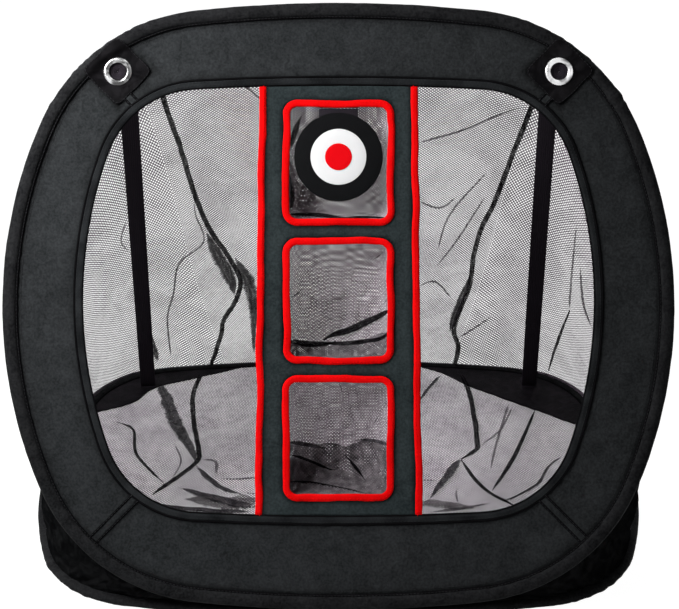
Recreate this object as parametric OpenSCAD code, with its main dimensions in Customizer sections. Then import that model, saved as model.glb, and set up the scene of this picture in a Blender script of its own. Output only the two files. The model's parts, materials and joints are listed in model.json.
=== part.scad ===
// Pop-up golf chipping net. A leaning front hoop and a hoop on the ground are joined along
// their front edge, with fabric and netting stretched between them. The target band across
// the front carries three windows with net pouches, and a hanging bullseye disc.
// Frame: +Z up, the open face looks towards -Y, the origin is under the middle of the net.

/* [Front hoop] */
// Width of the front face over its hem
face_w = 650; // [600:1:720]
// Height of the front face over its hem, measured along the face
face_h = 587; // [550:1:650]
// Radius of the bowed sides
face_side_r = 445; // [420:5:900]
// Radius of the bowed top and bottom
face_end_r = 1280; // [1000:10:2400]
// Radius of the corners
face_corner_r = 184; // [150:1:195]
// Lean of the face back from upright, in degrees
face_lean = 26.3; // [18:0.1:34]

/* [Ground hoop] */
// How much wider the ground hoop is than the face, over their hems
base_spread = 6; // [0:1:30]
// Depth of the ground hoop over its hem
base_d = 520; // [470:1:560]
// Radius of the bowed sides
base_side_r = 520; // [450:5:900]
// Radius of the bowed front and rear
base_end_r = 1280; // [1000:10:2400]
// Radius of the corners
base_corner_r = 120; // [100:1:150]

/* [Hem and spring wire] */
// Width of the hem sleeve, in the plane of its hoop
hem_w = 13.5; // [12:0.5:18]
// Thickness of the hem sleeve, across its hoop
hem_t = 9; // [8:0.25:11]
// Thickness of the hem cloth
hem_wall = 1; // [0.8:0.1:1.2]
// Diameter of the spring steel wire in each hem
wire_d = 4.4; // [3.6:0.1:4.8]
// Wall of the crimped sleeve that joins the wire's ends
ferrule_wall = 0.6; // [0.4:0.05:0.8]
// Length of that crimped sleeve
ferrule_len = 42; // [30:1:60]

/* [Border] */
// Width of the cloth border at the sides, over the hem
border_side = 77.5; // [70:0.5:86]
// Width of the cloth border at the top, over the hem
border_top_w = 79.5; // [72:0.5:88]
// Width of the cloth border at the bottom, over the hem
border_foot_w = 90.5; // [80:0.5:98]
// Radius of the bowed sides of the opening
open_side_r = 424; // [380:2:900]
// Radius of the bowed top and bottom of the opening
open_end_r = 2530; // [1600:10:4000]
// Radius of the opening's corners
open_corner_r = 94.5; // [80:0.5:120]
// Thickness of the border cloth
cloth_t = 1; // [0.8:0.1:1.3]
// Width of the charcoal binding round the opening
lip_w = 9; // [7:0.5:11]
// Place of each mitre on the opening's corner arc, in degrees
mitre_turn = 52.6; // [40:0.2:60]
// Width of the double-stitched mitre seams
mitre_w = 8; // [5:0.5:10]
// Thickness of the mitre seams
mitre_t = 0.6; // [0.4:0.1:1]

/* [Target band] */
// Width of the band at its top, over its red bindings
band_top_w = 154; // [146:1:166]
// Width of the band at its foot, over its red bindings
band_foot_w = 162; // [150:1:172]
// Clear width of each window
win_w = 94; // [84:1:102]
// Band left above the top window and below the bottom one
band_end = 14; // [8:0.5:20]
// Band left between two windows
win_gap = 10.5; // [6:0.5:16]
// Radius of each window's corners
win_r = 7; // [5:0.5:12]
// Width of the red binding
trim_w = 7.5; // [6:0.25:9]
// Thickness of the bindings
trim_t = 3; // [2.4:0.1:3.4]
// Depth of each net pouch behind its window
pouch_depth = 42; // [25:1:60]

/* [Bullseye] */
// Space between the disc and each side of its window
disc_space = 4; // [3:0.5:8]
// Thickness of the disc
disc_t = 2.4; // [1.6:0.1:2.6]
// Radius of the white ring
white_r = 27; // [22:0.5:32]
// Radius of the red centre
red_r = 13; // [9:0.5:17]
// Thickness of each printed layer
print_t = 0.4; // [0.3:0.05:0.5]
// Width of the tab that the disc hangs from
tab_w = 38; // [26:1:46]
// Length of the tab sewn behind the band
tab_sewn = 14; // [10:0.5:18]
// Thickness of the tab
tab_t = 0.5; // [0.4:0.05:0.6]
// Free length of the tab above the disc
tab_free = 4; // [3.8:0.1:6]

/* [Top eyelets] */
// Bore radius of the eyelet
eye_r = 8; // [6:0.25:9]
// Flange radius of the eyelet
eye_flange_r = 14; // [12:0.25:15]
// Height of the eyelet's domed flange
eye_dome = 1.8; // [1.2:0.1:2.4]
// Distance of the eyelet's centre from the face's outer edge
eye_inset = 28.5; // [28:0.5:36]
// Place of the eyelet on the face's corner, in degrees
eye_turn = 53; // [48:0.5:58]
// Thickness of the washer behind the eyelet
washer_t = 1; // [0.6:0.1:1.2]
// Side of the square patch under the eyelet
patch_side = 48; // [40:1:54]
// Thickness of that patch
patch_t = 1; // [0.6:0.1:1.2]

/* [Straps] */
// Width of each strap
strap_w = 18; // [12:0.5:20]
// Thickness of the webbing
strap_t = 1.6; // [1:0.1:2]
// Distance of the strap's top end inwards from the eyelet
strap_in = 9.5; // [4:0.5:12]
// Distance of the strap's top end below the eyelet
strap_drop = 23; // [21:0.5:26]
// Thickness of the anchor patch behind the border and of the foot tab
anchor_t = 1.2; // [0.8:0.1:1.4]
// Distance of the foot eyelet from the ground hoop's outer edge
foot_inset = 26; // [24:0.5:34]
// Place of the foot eyelet on the ground hoop's corner, in degrees
foot_turn = 61; // [52:0.5:66]
// Distance of the strap's foot in front of the foot eyelet
foot_lead = 16; // [13:0.5:22]
// Bore radius of the foot eyelet
peg_r = 2.5; // [2:0.1:3]
// Flange radius of the foot eyelet
peg_flange_r = 5.5; // [4.5:0.1:6.5]

/* [Netting] */
// Thickness of the netting
net_t = 0.8; // [0.6:0.1:1]
// Width of the strands between two gaps
strand_w = 5; // [3:0.5:8]
// Width of the strands of the pouches
pouch_strand = 3; // [2:0.5:5]
// Size of the gaps in the floor net
floor_gap = 62; // [56:1:90]
// Length of each rear corner patch along the side
patch_run_side = 145; // [110:1:200]
// Length of each rear corner patch along the rear
patch_run_rear = 230; // [160:1:260]
// Inward slack of the side and rear nets
net_slack = 10; // [0:1:14]
// Width of the tape on the seams between the nets
seam_w = 12; // [8:0.5:16]

/* [Hidden] */
// Small running gaps, in millimetres
seat = 0.3;
fold_gap = 0.25;
// Rise and length of the collars that join the arcs of a hoop
collar = 0.02;
collar_t = 0.4;
// Smoothness of the round parts, and the longest step along a panel's edge
$fn = 120;
panel_step = 13;
// Gaps of each net, across and along
side_cells = [7, 10];
rear_cells = [8, 10];
pouch_cells = [6, 6];
// Colours
charcoal = [0.18, 0.19, 0.2];
satin = [0.1, 0.1, 0.11];
red = [0.92, 0.05, 0.05];
white = [0.95, 0.95, 0.95];
mesh_grey = [0.42, 0.42, 0.44];
steel = [0.7, 0.71, 0.73];
chrome = [0.82, 0.83, 0.85];

// A hoop is [half width, half height, side radius, end radius, corner radius]
base_w = face_w + base_spread;
face = [face_w / 2, face_h / 2, face_side_r, face_end_r, face_corner_r];
base = [base_w / 2, base_d / 2, base_side_r, base_end_r, base_corner_r];
open_w = face_w - 2 * border_side;
open_h = face_h - border_top_w - border_foot_w;
opening = [open_w / 2, open_h / 2, open_side_r, open_end_r, open_corner_r];
open_y = (border_foot_w - border_top_w) / 2;

// The fold line lies just over the ground hem, and the face's back comes down flat on it
hem_r = hem_t / 2;
face_z = hem_r + fold_gap;
face_u = (hem_r + seat - fold_gap - face_z * sin(face_lean)) / cos(face_lean) - hem_r;
hinge_z = hem_t + fold_gap;
front_v = hem_w / 2 + (face_u + hem_r) * sin(face_lean) - face_z * cos(face_lean) - hem_r;
middle_v = (min(front_v, 0) + base_d) / 2;
hinge_y = hem_w / 2 - middle_v;
base_y = base_d / 2 - middle_v;

// Wire in the hem: the crimped sleeve seats against the outer side of the hem
ferrule_r = wire_d / 2 + ferrule_wall;
wire_in = hem_wall + seat + ferrule_r;

// Target band, in the plane of the face
band_half_h = open_h / 2 - seat;
win_out_h = (open_h - 2 * band_end - 2 * win_gap) / 3;
win_h = win_out_h - 2 * trim_w;
win_pitch = win_out_h + win_gap;
trim_grip = trim_t;

// Bullseye: the hinge line is the fold of its tab, just under the window's top edge
tab_z = -trim_t / 2 - 0.2 - tab_t / 2;
hinge_u = open_y + win_pitch + win_h / 2 - 1;
disc_r = min(win_w - 2 * disc_space, win_h - 2 * disc_space - tab_free) / 2;
disc_y = hinge_u - tab_free - disc_r;
disc_back = tab_z + tab_t / 2;

// Places of the eyelets, the strap ends and the foot eyelets
eye = hoop_corner(face) + (face_corner_r - eye_inset) * [cos(eye_turn), sin(eye_turn)];
eye_barrel = eye_r + 0.8;
strap_top = [eye.x - strap_in, eye.y - strap_drop];
peg = hoop_corner(base) + (base_corner_r - foot_inset) * [cos(foot_turn), sin(foot_turn)];
peg_barrel = peg_r + 0.6;
strap_foot = [peg.x, peg.y - foot_lead];

// The nets lie on the front hem's back, and meet the ground hem clear of the front hem
net_back = -hem_r - seat - net_t / 2;
net_foot = hem_w / 2 + seat + net_t;

// ---------------------------------------------------------------- hoop outlines

// Centre of the corner arc that runs smoothly into the side arc and the end arc
function hoop_corner(h) =
    let (side_x = h[0] - h[2],
         end_y = h[1] - h[3],
         near = h[2] - h[4],
         far = h[3] - h[4],
         d = norm([side_x, end_y]),
         along = (near * near - far * far + d * d) / (2 * d),
         off = sqrt(near * near - along * along))
    [side_x - (along * side_x + off * end_y) / d, (along * end_y - off * side_x) / d];

// Angles at which the side arc ends and the end arc begins
function side_turn(h) =
    atan2(hoop_corner(h).y, hoop_corner(h).x - h[0] + h[2]);
function end_turn(h) =
    atan2(hoop_corner(h).y - h[1] + h[3], hoop_corner(h).x);

function on_arc(c, r, turn) = c + r * [cos(turn), sin(turn)];

// Point of the hoop's right half, pulled in by inset. q runs from -3 at the bottom over
// 0 at the side to 3 at the top, and a whole number ends each arc.
function hoop_point(h, q, inset = 0) =
    q < 0 ? [hoop_point(h, -q, inset).x, -hoop_point(h, -q, inset).y] :
    q < 1 ? on_arc([h[0] - h[2], 0], h[2] - inset, q * side_turn(h)) :
    q < 2 ? on_arc(hoop_corner(h), h[4] - inset,
                   side_turn(h) + (q - 1) * (end_turn(h) - side_turn(h))) :
    on_arc([0, h[1] - h[3]], h[3] - inset, end_turn(h) + (q - 2) * (90 - end_turn(h)));

// Whole outline of a hoop as points, pulled in by inset
function arc_steps(h, part) =
    let (turn = [side_turn(h), end_turn(h) - side_turn(h), 90 - end_turn(h)][part],
         r = [h[2], h[4], h[3]][part])
    ceil(turn * r * PI / 180 / panel_step);
function quarter_stops(h) =
    [for (part = [0:2]) for (i = [1:arc_steps(h, part)]) part + i / arc_steps(h, part)];
function outline(h, inset) =
    let (stops = quarter_stops(h),
         n = len(stops),
         up = [for (q = stops) hoop_point(h, q, inset)])
    concat([[h[0] - inset, 0]], up,
        [for (i = [n - 2:-1:0]) [-up[i].x, up[i].y]], [[inset - h[0], 0]],
        [for (p = up) [-p.x, -p.y]],
        [for (i = [n - 2:-1:0]) [up[i].x, -up[i].y]]);

// Sweeps a profile round the hoop. The profile's x is the distance outwards from the
// outline, and its y stands square to the hoop's plane.
module arc_sweep(c, r, from, to) {
    translate([c.x, c.y, 0])
        rotate([0, 0, from])
            rotate_extrude(angle = to - from)
                translate([r, 0])
                    children();
}

// Sweeps its first child round the hoop. A second child, the same profile a hair larger,
// gives each joint a thin collar that makes the arcs one solid. The ground hem has none,
// because it stands on its lower face.
module hoop_sweep(h) {
    for (flip = [0, 1])
        mirror([flip, 0, 0])
            arc_sweep([h[0] - h[2], 0], h[2], -side_turn(h), side_turn(h)) children(0);
    for (flip = [0, 1])
        mirror([0, flip, 0])
            arc_sweep([0, h[1] - h[3]], h[3], end_turn(h), 180 - end_turn(h)) children(0);
    for (across = [0, 1])
        for (down = [0, 1])
            mirror([across, 0, 0])
                mirror([0, down, 0]) {
                    arc_sweep(hoop_corner(h), h[4], side_turn(h), end_turn(h)) children(0);
                    if ($children > 1)
                        for (turn = [side_turn(h), end_turn(h)])
                            translate(concat(on_arc(hoop_corner(h), h[4], turn), [0]))
                                rotate([90, 0, turn])
                                    linear_extrude(collar_t, center = true)
                                        children(1);
                }
}

// ---------------------------------------------------------------- places

// Moves a child from the face's own plane (x, y up the face, z out of its front) to rest
module on_face() {
    translate([0, hinge_y, hinge_z])
        rotate([90 - face_lean, 0, 0])
            translate([0, face_u + face_h / 2, face_z])
                children();
}

module on_base() {
    translate([0, base_y, hem_r])
        children();
}

function face_to_world(p) =
    let (u = p.y + face_u + face_h / 2,
         w = p.z + face_z)
    [p.x, hinge_y + u * sin(face_lean) - w * cos(face_lean),
        hinge_z + u * cos(face_lean) + w * sin(face_lean)];

function base_to_world(p) = [p.x, base_y + p.y, hem_r + p.z];

module on_side(side) {
    mirror([side < 0 ? 1 : 0, 0, 0])
        children();
}

// ---------------------------------------------------------------- hems and wires

// Flat sleeve with round ends, from x = 0 inwards
module flat_tube(w, t) {
    translate([-w + t / 2, -t / 2])
        square([w - t, t]);
    for (x = [-t / 2, -w + t / 2])
        translate([x, 0])
            circle(d = t);
}

module hem_profile(grow = 0) {
    wall = hem_wall + grow;
    difference() {
        translate([grow, 0])
            flat_tube(hem_w + 2 * grow, hem_t + 2 * grow);
        translate([-wall, 0])
            flat_tube(hem_w - 2 * wall, hem_t - 2 * wall);
    }
}

module wire_profile(grow = 0) {
    translate([-wire_in, 0])
        circle(r = wire_d / 2 + grow, $fn = 32);
}

// Crimped sleeve round the wire at the middle of the hoop's end arc
module ferrule(h) {
    half = ferrule_len / h[3] * 90 / PI;
    arc_sweep([0, h[1] - h[3]], h[3], 90 - half, 90 + half)
        translate([-wire_in, 0])
            difference() {
                circle(r = ferrule_r, $fn = 32);
                circle(r = wire_d / 2 + 0.05, $fn = 32);
            }
}

module base_hoop() {
    color(steel)
        on_base()
            hoop_sweep(base) {
                wire_profile();
                wire_profile(collar);
            }
}

module base_ferrule() {
    color(chrome)
        on_base()
            ferrule(base);
}

module base_hem() {
    color(charcoal)
        on_base()
            hoop_sweep(base) hem_profile();
}

module front_hoop() {
    color(steel)
        on_face()
            hoop_sweep(face) {
                wire_profile();
                wire_profile(collar);
            }
}

module front_ferrule() {
    color(chrome)
        on_face()
            ferrule(face);
}

module front_hem() {
    color(charcoal)
        on_face()
            hoop_sweep(face) {
                hem_profile();
                hem_profile(collar);
            }
}

// ---------------------------------------------------------------- border

// Flat sheet of the cloth's plane between two heights over the face's middle plane
module sheet_at(z, t) {
    translate([0, 0, z])
        linear_extrude(t)
            children();
}

module border_area() {
    difference() {
        polygon(outline(face, hem_w + seat));
        translate([0, open_y])
            polygon(outline(opening, -trim_grip - 0.6));
    }
}

// Offset of the mitre line, which runs at 45 degrees through the opening's corner
mitre_foot = on_arc(hoop_corner(opening), open_corner_r, mitre_turn);
mitre_shift = mitre_foot.x - mitre_foot.y;

module mitre_wedge(turn) {
    reach = face_w;
    shift = (turn % 180 == 0 ? 1 : -1) * mitre_shift;
    translate([0, open_y])
        rotate(turn)
            polygon([[0, -shift], [reach, reach - shift], [-reach, reach - shift]]);
}

module border_panel(turn) {
    color(charcoal)
        on_face()
            difference() {
                sheet_at(-cloth_t / 2, cloth_t)
                    intersection() {
                        border_area();
                        mitre_wedge(turn);
                    }
                for (side = [-1, 1])
                    translate([side * eye.x, eye.y, -cloth_t])
                        cylinder(r = eye_barrel + 0.2, h = 2 * cloth_t, $fn = 48);
            }
}

module border_top() border_panel(0);
module border_left() border_panel(90);
module border_bottom() border_panel(180);
module border_right() border_panel(270);

module patch_area(grow = 0) {
    side = patch_side + 2 * grow;
    translate([eye.x, eye.y])
        rotate(45)
            translate([-side / 2, -side / 2])
                square(side);
}

module mitre_seams() {
    color(satin)
        on_face()
            sheet_at(cloth_t / 2, mitre_t)
                for (side = [-1, 1])
                    on_side(side)
                        for (down = [0, 1])
                            difference() {
                                intersection() {
                                    mitre_strip(down);
                                    seam_area();
                                }
                                patch_area(seat);
                            }
}

module mitre_strip(down) {
    translate([0, open_y])
        mirror([0, down])
            translate(mitre_foot)
                rotate(45)
                    translate([0, -mitre_w / 2])
                        square([face_corner_r, mitre_w]);
}

// Border between the hem and the opening's binding
module seam_area() {
    difference() {
        polygon(outline(face, hem_w + seat));
        translate([0, open_y])
            polygon(outline(opening, -lip_w - seat - 0.3));
    }
}

// Folded binding with its nose at x = 0 and a slot for the cloth's edge
module binding_profile(w, grow = 0) {
    r = trim_t / 2 + grow;
    slot = cloth_t / 2 + 0.15 - grow;
    difference() {
        union() {
            translate([trim_t / 2, 0])
                circle(r = r, $fn = 32);
            translate([trim_t / 2, -r])
                square([w + grow - trim_t / 2, 2 * r]);
        }
        translate([trim_grip + grow, -slot])
            square([w, 2 * slot]);
    }
}

module opening_binding() {
    color(satin)
        on_face()
            translate([0, open_y, 0])
                hoop_sweep(opening) {
                    binding_profile(lip_w);
                    binding_profile(lip_w, collar);
                }
}

// ---------------------------------------------------------------- target band

band_rise = open_h - 2 * seat;
band_slope = atan((band_foot_w - band_top_w) / 2 / band_rise);

// Trapezium of the band, narrower than its bindings by inset on each side
module band_area(inset) {
    top = band_top_w / 2 - inset;
    foot = band_foot_w / 2 - inset;
    polygon([[top, band_half_h], [-top, band_half_h], [-foot, -band_half_h],
        [foot, -band_half_h]]);
}

// Window with rounded corners, wider by grow on every side
module window_area(grow) {
    r = win_r + grow;
    w = win_w + 2 * grow;
    h = win_h + 2 * grow;
    for (x = [-w / 2 + r, w / 2 - r])
        for (y = [-h / 2 + r, h / 2 - r])
            translate([x, y])
                circle(r = r, $fn = 48);
    translate([-w / 2 + r, -h / 2])
        square([w - 2 * r, h]);
    translate([-w / 2, -h / 2 + r])
        square([w, h - 2 * r]);
}

module target_band() {
    color(charcoal)
        on_face()
            sheet_at(-cloth_t / 2, cloth_t)
                translate([0, open_y])
                    difference() {
                        intersection() {
                            band_area(trim_grip + seat);
                            polygon(outline(opening, seat));
                        }
                        for (row = [-1:1])
                            translate([0, row * win_pitch])
                                window_area(trim_grip + seat);
                    }
}

module band_binding(side) {
    end_gap = band_foot_w * band_foot_w / 8 / open_end_r;
    color(red)
        on_face()
            translate([0, open_y, 0])
                on_side(side)
                    translate([band_foot_w / 2, -band_half_h, 0])
                        rotate([0, 0, band_slope])
                            translate([0, end_gap, 0])
                                rotate([-90, 0, 0])
                                    linear_extrude(band_rise / cos(band_slope) - 2 * end_gap)
                                        mirror([1, 0])
                                            binding_profile(trim_w);
}

module band_binding_left() band_binding(-1);
module band_binding_right() band_binding(1);

// Binding round one window: four straight runs and four corners of one folded profile
module window_binding(row) {
    x = win_w / 2 - win_r;
    y = win_h / 2 - win_r;
    color(red)
        on_face()
            translate([0, open_y + row * win_pitch, 0]) {
                for (turn = [0:90:270]) {
                    run = turn % 180 == 0 ? y : x;
                    reach = turn % 180 == 0 ? win_w / 2 : win_h / 2;
                    rotate([0, 0, turn])
                        translate([reach, run, 0])
                            rotate([90, 0, 0])
                                linear_extrude(2 * run)
                                    binding_profile(trim_w);
                }
                for (across = [0, 1])
                    for (down = [0, 1])
                        mirror([across, 0, 0])
                            mirror([0, down, 0])
                                arc_sweep([x, y], win_r, 0, 90)
                                    binding_profile(trim_w);
            }
}

module window_binding_top() window_binding(1);
module window_binding_middle() window_binding(0);
module window_binding_bottom() window_binding(-1);

// ---------------------------------------------------------------- netting

// Unit vector square to a surface at s, t, where both run from 0 to 1
function square_to(form, s, t) =
    let (e = 0.01,
         n = cross(form(min(s + e, 1), t) - form(max(s - e, 0), t),
                   form(s, min(t + e, 1)) - form(s, max(t - e, 0))))
    n / norm(n);

function skin(form, s, t, thick) =
    form(s, t) + square_to(form, s, t) * thick / 2;

// Sheet of a surface, cells.x by cells.y. size is its real width and height, strand the
// width left between two gaps, and a strand of 0 leaves the gaps out.
module net_sheet(form, cells, size = [1, 1], strand = 0) {
    m = cells.x;
    n = cells.y;
    bare = strand == 0;
    rim = [strand / 2 / size.x, strand / 2 / size.y];
    nodes = [for (j = [0:n]) for (i = [0:m]) [i / m, j / n]];
    holes = bare ? [] : [for (j = [0:n - 1]) for (i = [0:m - 1]) for (k = [0:3])
        [(i + (k == 1 || k == 2 ? 1 : 0)) / m + (k == 1 || k == 2 ? -1 : 1) * rim.x,
         (j + (k > 1 ? 1 : 0)) / n + (k > 1 ? -1 : 1) * rim.y]];
    spots = concat(nodes, holes);
    count = len(spots);
    points = concat([for (p = spots) skin(form, p.x, p.y, net_t)],
        [for (p = spots) skin(form, p.x, p.y, -net_t)]);
    ring = [for (j = [0:n - 1]) for (i = [0:m - 1])
        let (a = j * (m + 1) + i)
        [a, a + 1, a + m + 2, a + m + 1]];
    first = len(nodes);
    top = bare ? [for (c = ring) for (f = [[c[0], c[1], c[2]], [c[0], c[2], c[3]]]) f] :
        [for (i = [0:len(ring) - 1]) for (k = [0:3])
            let (c = ring[i],
                 a = first + 4 * i + k,
                 b = first + 4 * i + (k + 1) % 4)
            for (f = [[c[k], c[(k + 1) % 4], b], [c[k], b, a]]) f];
    walls = bare ? [] : [for (i = [0:len(ring) - 1]) for (k = [0:3])
        [first + 4 * i + k, first + 4 * i + (k + 1) % 4]];
    last = n * (m + 1);
    edge = concat([for (i = [0:m - 1]) [i + 1, i]],
        [for (i = [0:m - 1]) [last + i, last + i + 1]],
        [for (j = [0:n - 1]) [j * (m + 1), (j + 1) * (m + 1)]],
        [for (j = [0:n - 1]) [(j + 1) * (m + 1) + m, j * (m + 1) + m]]);
    bottom = [for (f = top) [f[2] + count, f[1] + count, f[0] + count]];
    sides = [for (w = concat(walls, edge))
        for (f = [[w[0], w[1], w[1] + count], [w[0], w[1] + count, w[0] + count]]) f];
    closed = concat(top, bottom, sides);
    polyhedron(points, [for (f = closed) [f[2], f[1], f[0]]]);
}

// Stop of a panel's edge at t: one stop all the way, or [stop on the face, stop on the ground]
function stop_at(edge, t) = is_list(edge) ? edge[0] + (edge[1] - edge[0]) * t : edge;

// Surface from the front hem's back (t = 0) to the ground hem's top (t = 1), between the
// edges q0 and q1 of the right half. slack draws its middle in and down.
function between_hoops(q0, q1, slack) =
    function (s, t)
        let (q = stop_at(q0, t) + (stop_at(q1, t) - stop_at(q0, t)) * s,
             a = hoop_point(face, q, hem_w / 2),
             b = hoop_point(base, q, net_foot),
             from = face_to_world([a.x, a.y, net_back]),
             to = base_to_world([b.x, b.y, -net_back]),
             dip = slack * 4 * t * (1 - t))
        from + (to - from) * t - dip * [0.7 * from.x / face[0], 0.4, 0.6];

// The same surface moved square to itself, outwards when it runs up the right half
function lifted(form, gap) =
    function (s, t) form(s, t) - square_to(form, s, t) * gap;

// The same across the middle, from the edge q on the left to the edge q on the right
function across_hoops(q, slack) =
    let (half = between_hoops(q, stop_at(q, 0) < 0 ? -3 : 3, slack))
    function (s, t)
        let (p = half(1 - abs(2 * s - 1), t))
        [s < 0.5 ? -p.x : p.x, p.y, p.z];

tape_stop = -2.4;
gusset_stop = -1;
// The side net starts behind the gusset's edge, clear of the gusset's thickness
side_stop = gusset_stop + 0.022;
seam_stops = [1.6, 2.32];

// Length of the hoop between two stops, for the size of the net's cells
function run_between(h, q0, q1, steps = 12) =
    let (p = [for (i = [0:steps]) hoop_point(h, q0 + (q1 - q0) * i / steps)],
         hops = [for (i = [1:steps]) norm(p[i] - p[i - 1])])
    hops * [for (i = [1:steps]) 1];

function drop_at(q) =
    norm(between_hoops(q, q + 0.01, 0)(0, 0) - between_hoops(q, q + 0.01, 0)(0, 1));

module hinge_tape() {
    color(satin)
        net_sheet(across_hoops(tape_stop, 0), [12, 1]);
}

module corner_gusset(side) {
    color(satin)
        on_side(side)
            net_sheet(between_hoops(tape_stop, gusset_stop, 0), [14, 2]);
}

module corner_gusset_left() corner_gusset(-1);
module corner_gusset_right() corner_gusset(1);

module side_net(side) {
    color(mesh_grey)
        on_side(side)
            net_sheet(between_hoops(side_stop, seam_stops, net_slack), side_cells,
                [run_between(face, side_stop, seam_stops[0]), drop_at(0)], strand_w);
}

module side_net_left() side_net(-1);
module side_net_right() side_net(1);

module rear_net() {
    color(mesh_grey)
        net_sheet(across_hoops(seam_stops, net_slack), rear_cells,
            [2 * run_between(face, seam_stops[0], 3), drop_at(3)], strand_w);
}

// Tape over the seam where the side net meets the rear net
module net_seam(side) {
    step = 0.1;
    span = step * seam_w / 2 * [1 / run_between(face, seam_stops[0], seam_stops[0] + step),
                                1 / run_between(base, seam_stops[1], seam_stops[1] + step)];
    tape = between_hoops(seam_stops - span, seam_stops + span, net_slack);
    color(satin)
        on_side(side)
            net_sheet(lifted(tape, net_t + seat), [2, rear_cells.y]);
}

module net_seam_left() net_seam(-1);
module net_seam_right() net_seam(1);

// Pouch of net behind a window, deepest a little below its middle
function pouch_form(row) =
    function (s, t)
        let (x = 2 * s - 1,
             y = 2 * t - 1,
             deep = (1 - pow(abs(x), 4)) * (1 - pow(abs(y), 4)) * (1 - 0.35 * y) / 1.1)
        face_to_world([x * (win_w / 2 + trim_w / 2),
            open_y + row * win_pitch + y * (win_h / 2 + trim_w / 2),
            tab_z - tab_t / 2 - 0.2 - net_t / 2 - pouch_depth * deep]);

module pouch_net(row) {
    color(mesh_grey)
        net_sheet(pouch_form(row), pouch_cells, [win_w, win_h], pouch_strand);
}

module pouch_net_top() pouch_net(1);
module pouch_net_middle() pouch_net(0);
module pouch_net_bottom() pouch_net(-1);

// Corner of the ground hoop behind the line that the rear patch is cut along
module rear_corner_area(grow) {
    a = base_w / 2;
    b = base_d / 2;
    translate([-grow, -grow])
        polygon([[a, b - patch_run_side], [2 * a, b - patch_run_side], [2 * a, 2 * b],
            [a - patch_run_rear, 2 * b], [a - patch_run_rear, b]]);
}

module floor_net() {
    pitch = floor_gap + strand_w;
    across = ceil(base_w / pitch / 2);
    along = ceil(base_d / pitch / 2);
    color(mesh_grey)
        on_base()
            sheet_at(-cloth_t / 2, cloth_t)
                difference() {
                    floor_area(hem_w + seat, seat);
                    intersection() {
                        floor_area(hem_w + seat + 2 * strand_w, seat + 2 * strand_w);
                        for (i = [-across:across])
                            for (j = [-along:along])
                                translate([i * pitch - floor_gap / 2, j * pitch - floor_gap / 2])
                                    square(floor_gap);
                    }
                }
}

module floor_area(inset, grow) {
    difference() {
        polygon(outline(base, inset));
        for (side = [-1, 1])
            mirror([side < 0 ? 1 : 0, 0])
                rear_corner_area(grow);
    }
}

// ---------------------------------------------------------------- corner patches and straps

module rear_patch(side) {
    color(satin)
        on_base()
            on_side(side)
                difference() {
                    sheet_at(-cloth_t / 2, cloth_t)
                        intersection() {
                            polygon(outline(base, hem_w + seat));
                            rear_corner_area(0);
                        }
                    peg_hole();
                }
}

module peg_hole() {
    translate([peg.x, peg.y, -hem_t])
        cylinder(r = peg_barrel + 0.1, h = 2 * hem_t, $fn = 32);
}

module rear_patch_left() rear_patch(-1);
module rear_patch_right() rear_patch(1);

module foot_tab(side) {
    color(satin)
        on_base()
            on_side(side)
                difference() {
                    translate([strap_foot.x - strap_w / 2, strap_foot.y - strap_t * 2,
                        cloth_t / 2])
                        cube([strap_w, foot_lead + peg_flange_r + strap_t * 2, anchor_t]);
                    peg_hole();
                }
}

module foot_tab_left() foot_tab(-1);
module foot_tab_right() foot_tab(1);

module foot_eyelet(side) {
    low = -cloth_t / 2;
    high = cloth_t / 2 + anchor_t;
    color(chrome)
        on_base()
            on_side(side)
                translate([peg.x, peg.y, 0])
                    rotate_extrude($fn = 48) {
                        translate([peg_r, low - 1])
                            square([peg_barrel - peg_r, high - low + 2]);
                        for (z = [low - 1, high])
                            translate([peg_r, z])
                                square([peg_flange_r - peg_r, 1]);
                    }
}

module foot_eyelet_left() foot_eyelet(-1);
module foot_eyelet_right() foot_eyelet(1);

// Straight strap from behind the border down to its foot tab. It runs outwards on its way
// down, so one edge of its top end comes nearer to the leaning face than the other.
module strap(side) {
    clear = strap_t / 2 + seat;
    run = base_to_world([strap_foot.x, strap_foot.y, 0])
        - face_to_world([strap_top.x, strap_top.y, 0]);
    edge = strap_w / 2 * cos(face_lean) * run.x / norm([run.x, run.y]);
    top = face_to_world([strap_top.x, strap_top.y, -cloth_t / 2 - anchor_t - clear - edge]);
    foot = base_to_world([strap_foot.x, strap_foot.y, cloth_t / 2 + anchor_t + clear]);
    d = foot - top;
    color(satin)
        on_side(side)
            translate(top)
                rotate([0, acos(d.z / norm(d)), atan2(d.y, d.x)])
                    translate([-strap_t / 2, -strap_w / 2, 0])
                        cube([strap_t, strap_w, norm(d)]);
}

module strap_left() strap(-1);
module strap_right() strap(1);

module strap_anchor(side) {
    color(satin)
        on_face()
            on_side(side)
                eyelet_square(-cloth_t / 2 - anchor_t, anchor_t);
}

module strap_anchor_left() strap_anchor(-1);
module strap_anchor_right() strap_anchor(1);

// ---------------------------------------------------------------- top eyelets

// Square patch with the eyelet's hole, kept between the hem and the binding
module eyelet_square(z, t) {
    difference() {
        sheet_at(z, t)
            intersection() {
                patch_area();
                seam_area();
            }
        translate([eye.x, eye.y, z - 1])
            cylinder(r = eye_barrel + 0.2, h = t + 2, $fn = 48);
    }
}

module eyelet_patch(side) {
    color(satin)
        on_face()
            on_side(side)
                eyelet_square(cloth_t / 2, patch_t);
}

module eyelet_patch_left() eyelet_patch(-1);
module eyelet_patch_right() eyelet_patch(1);

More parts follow.
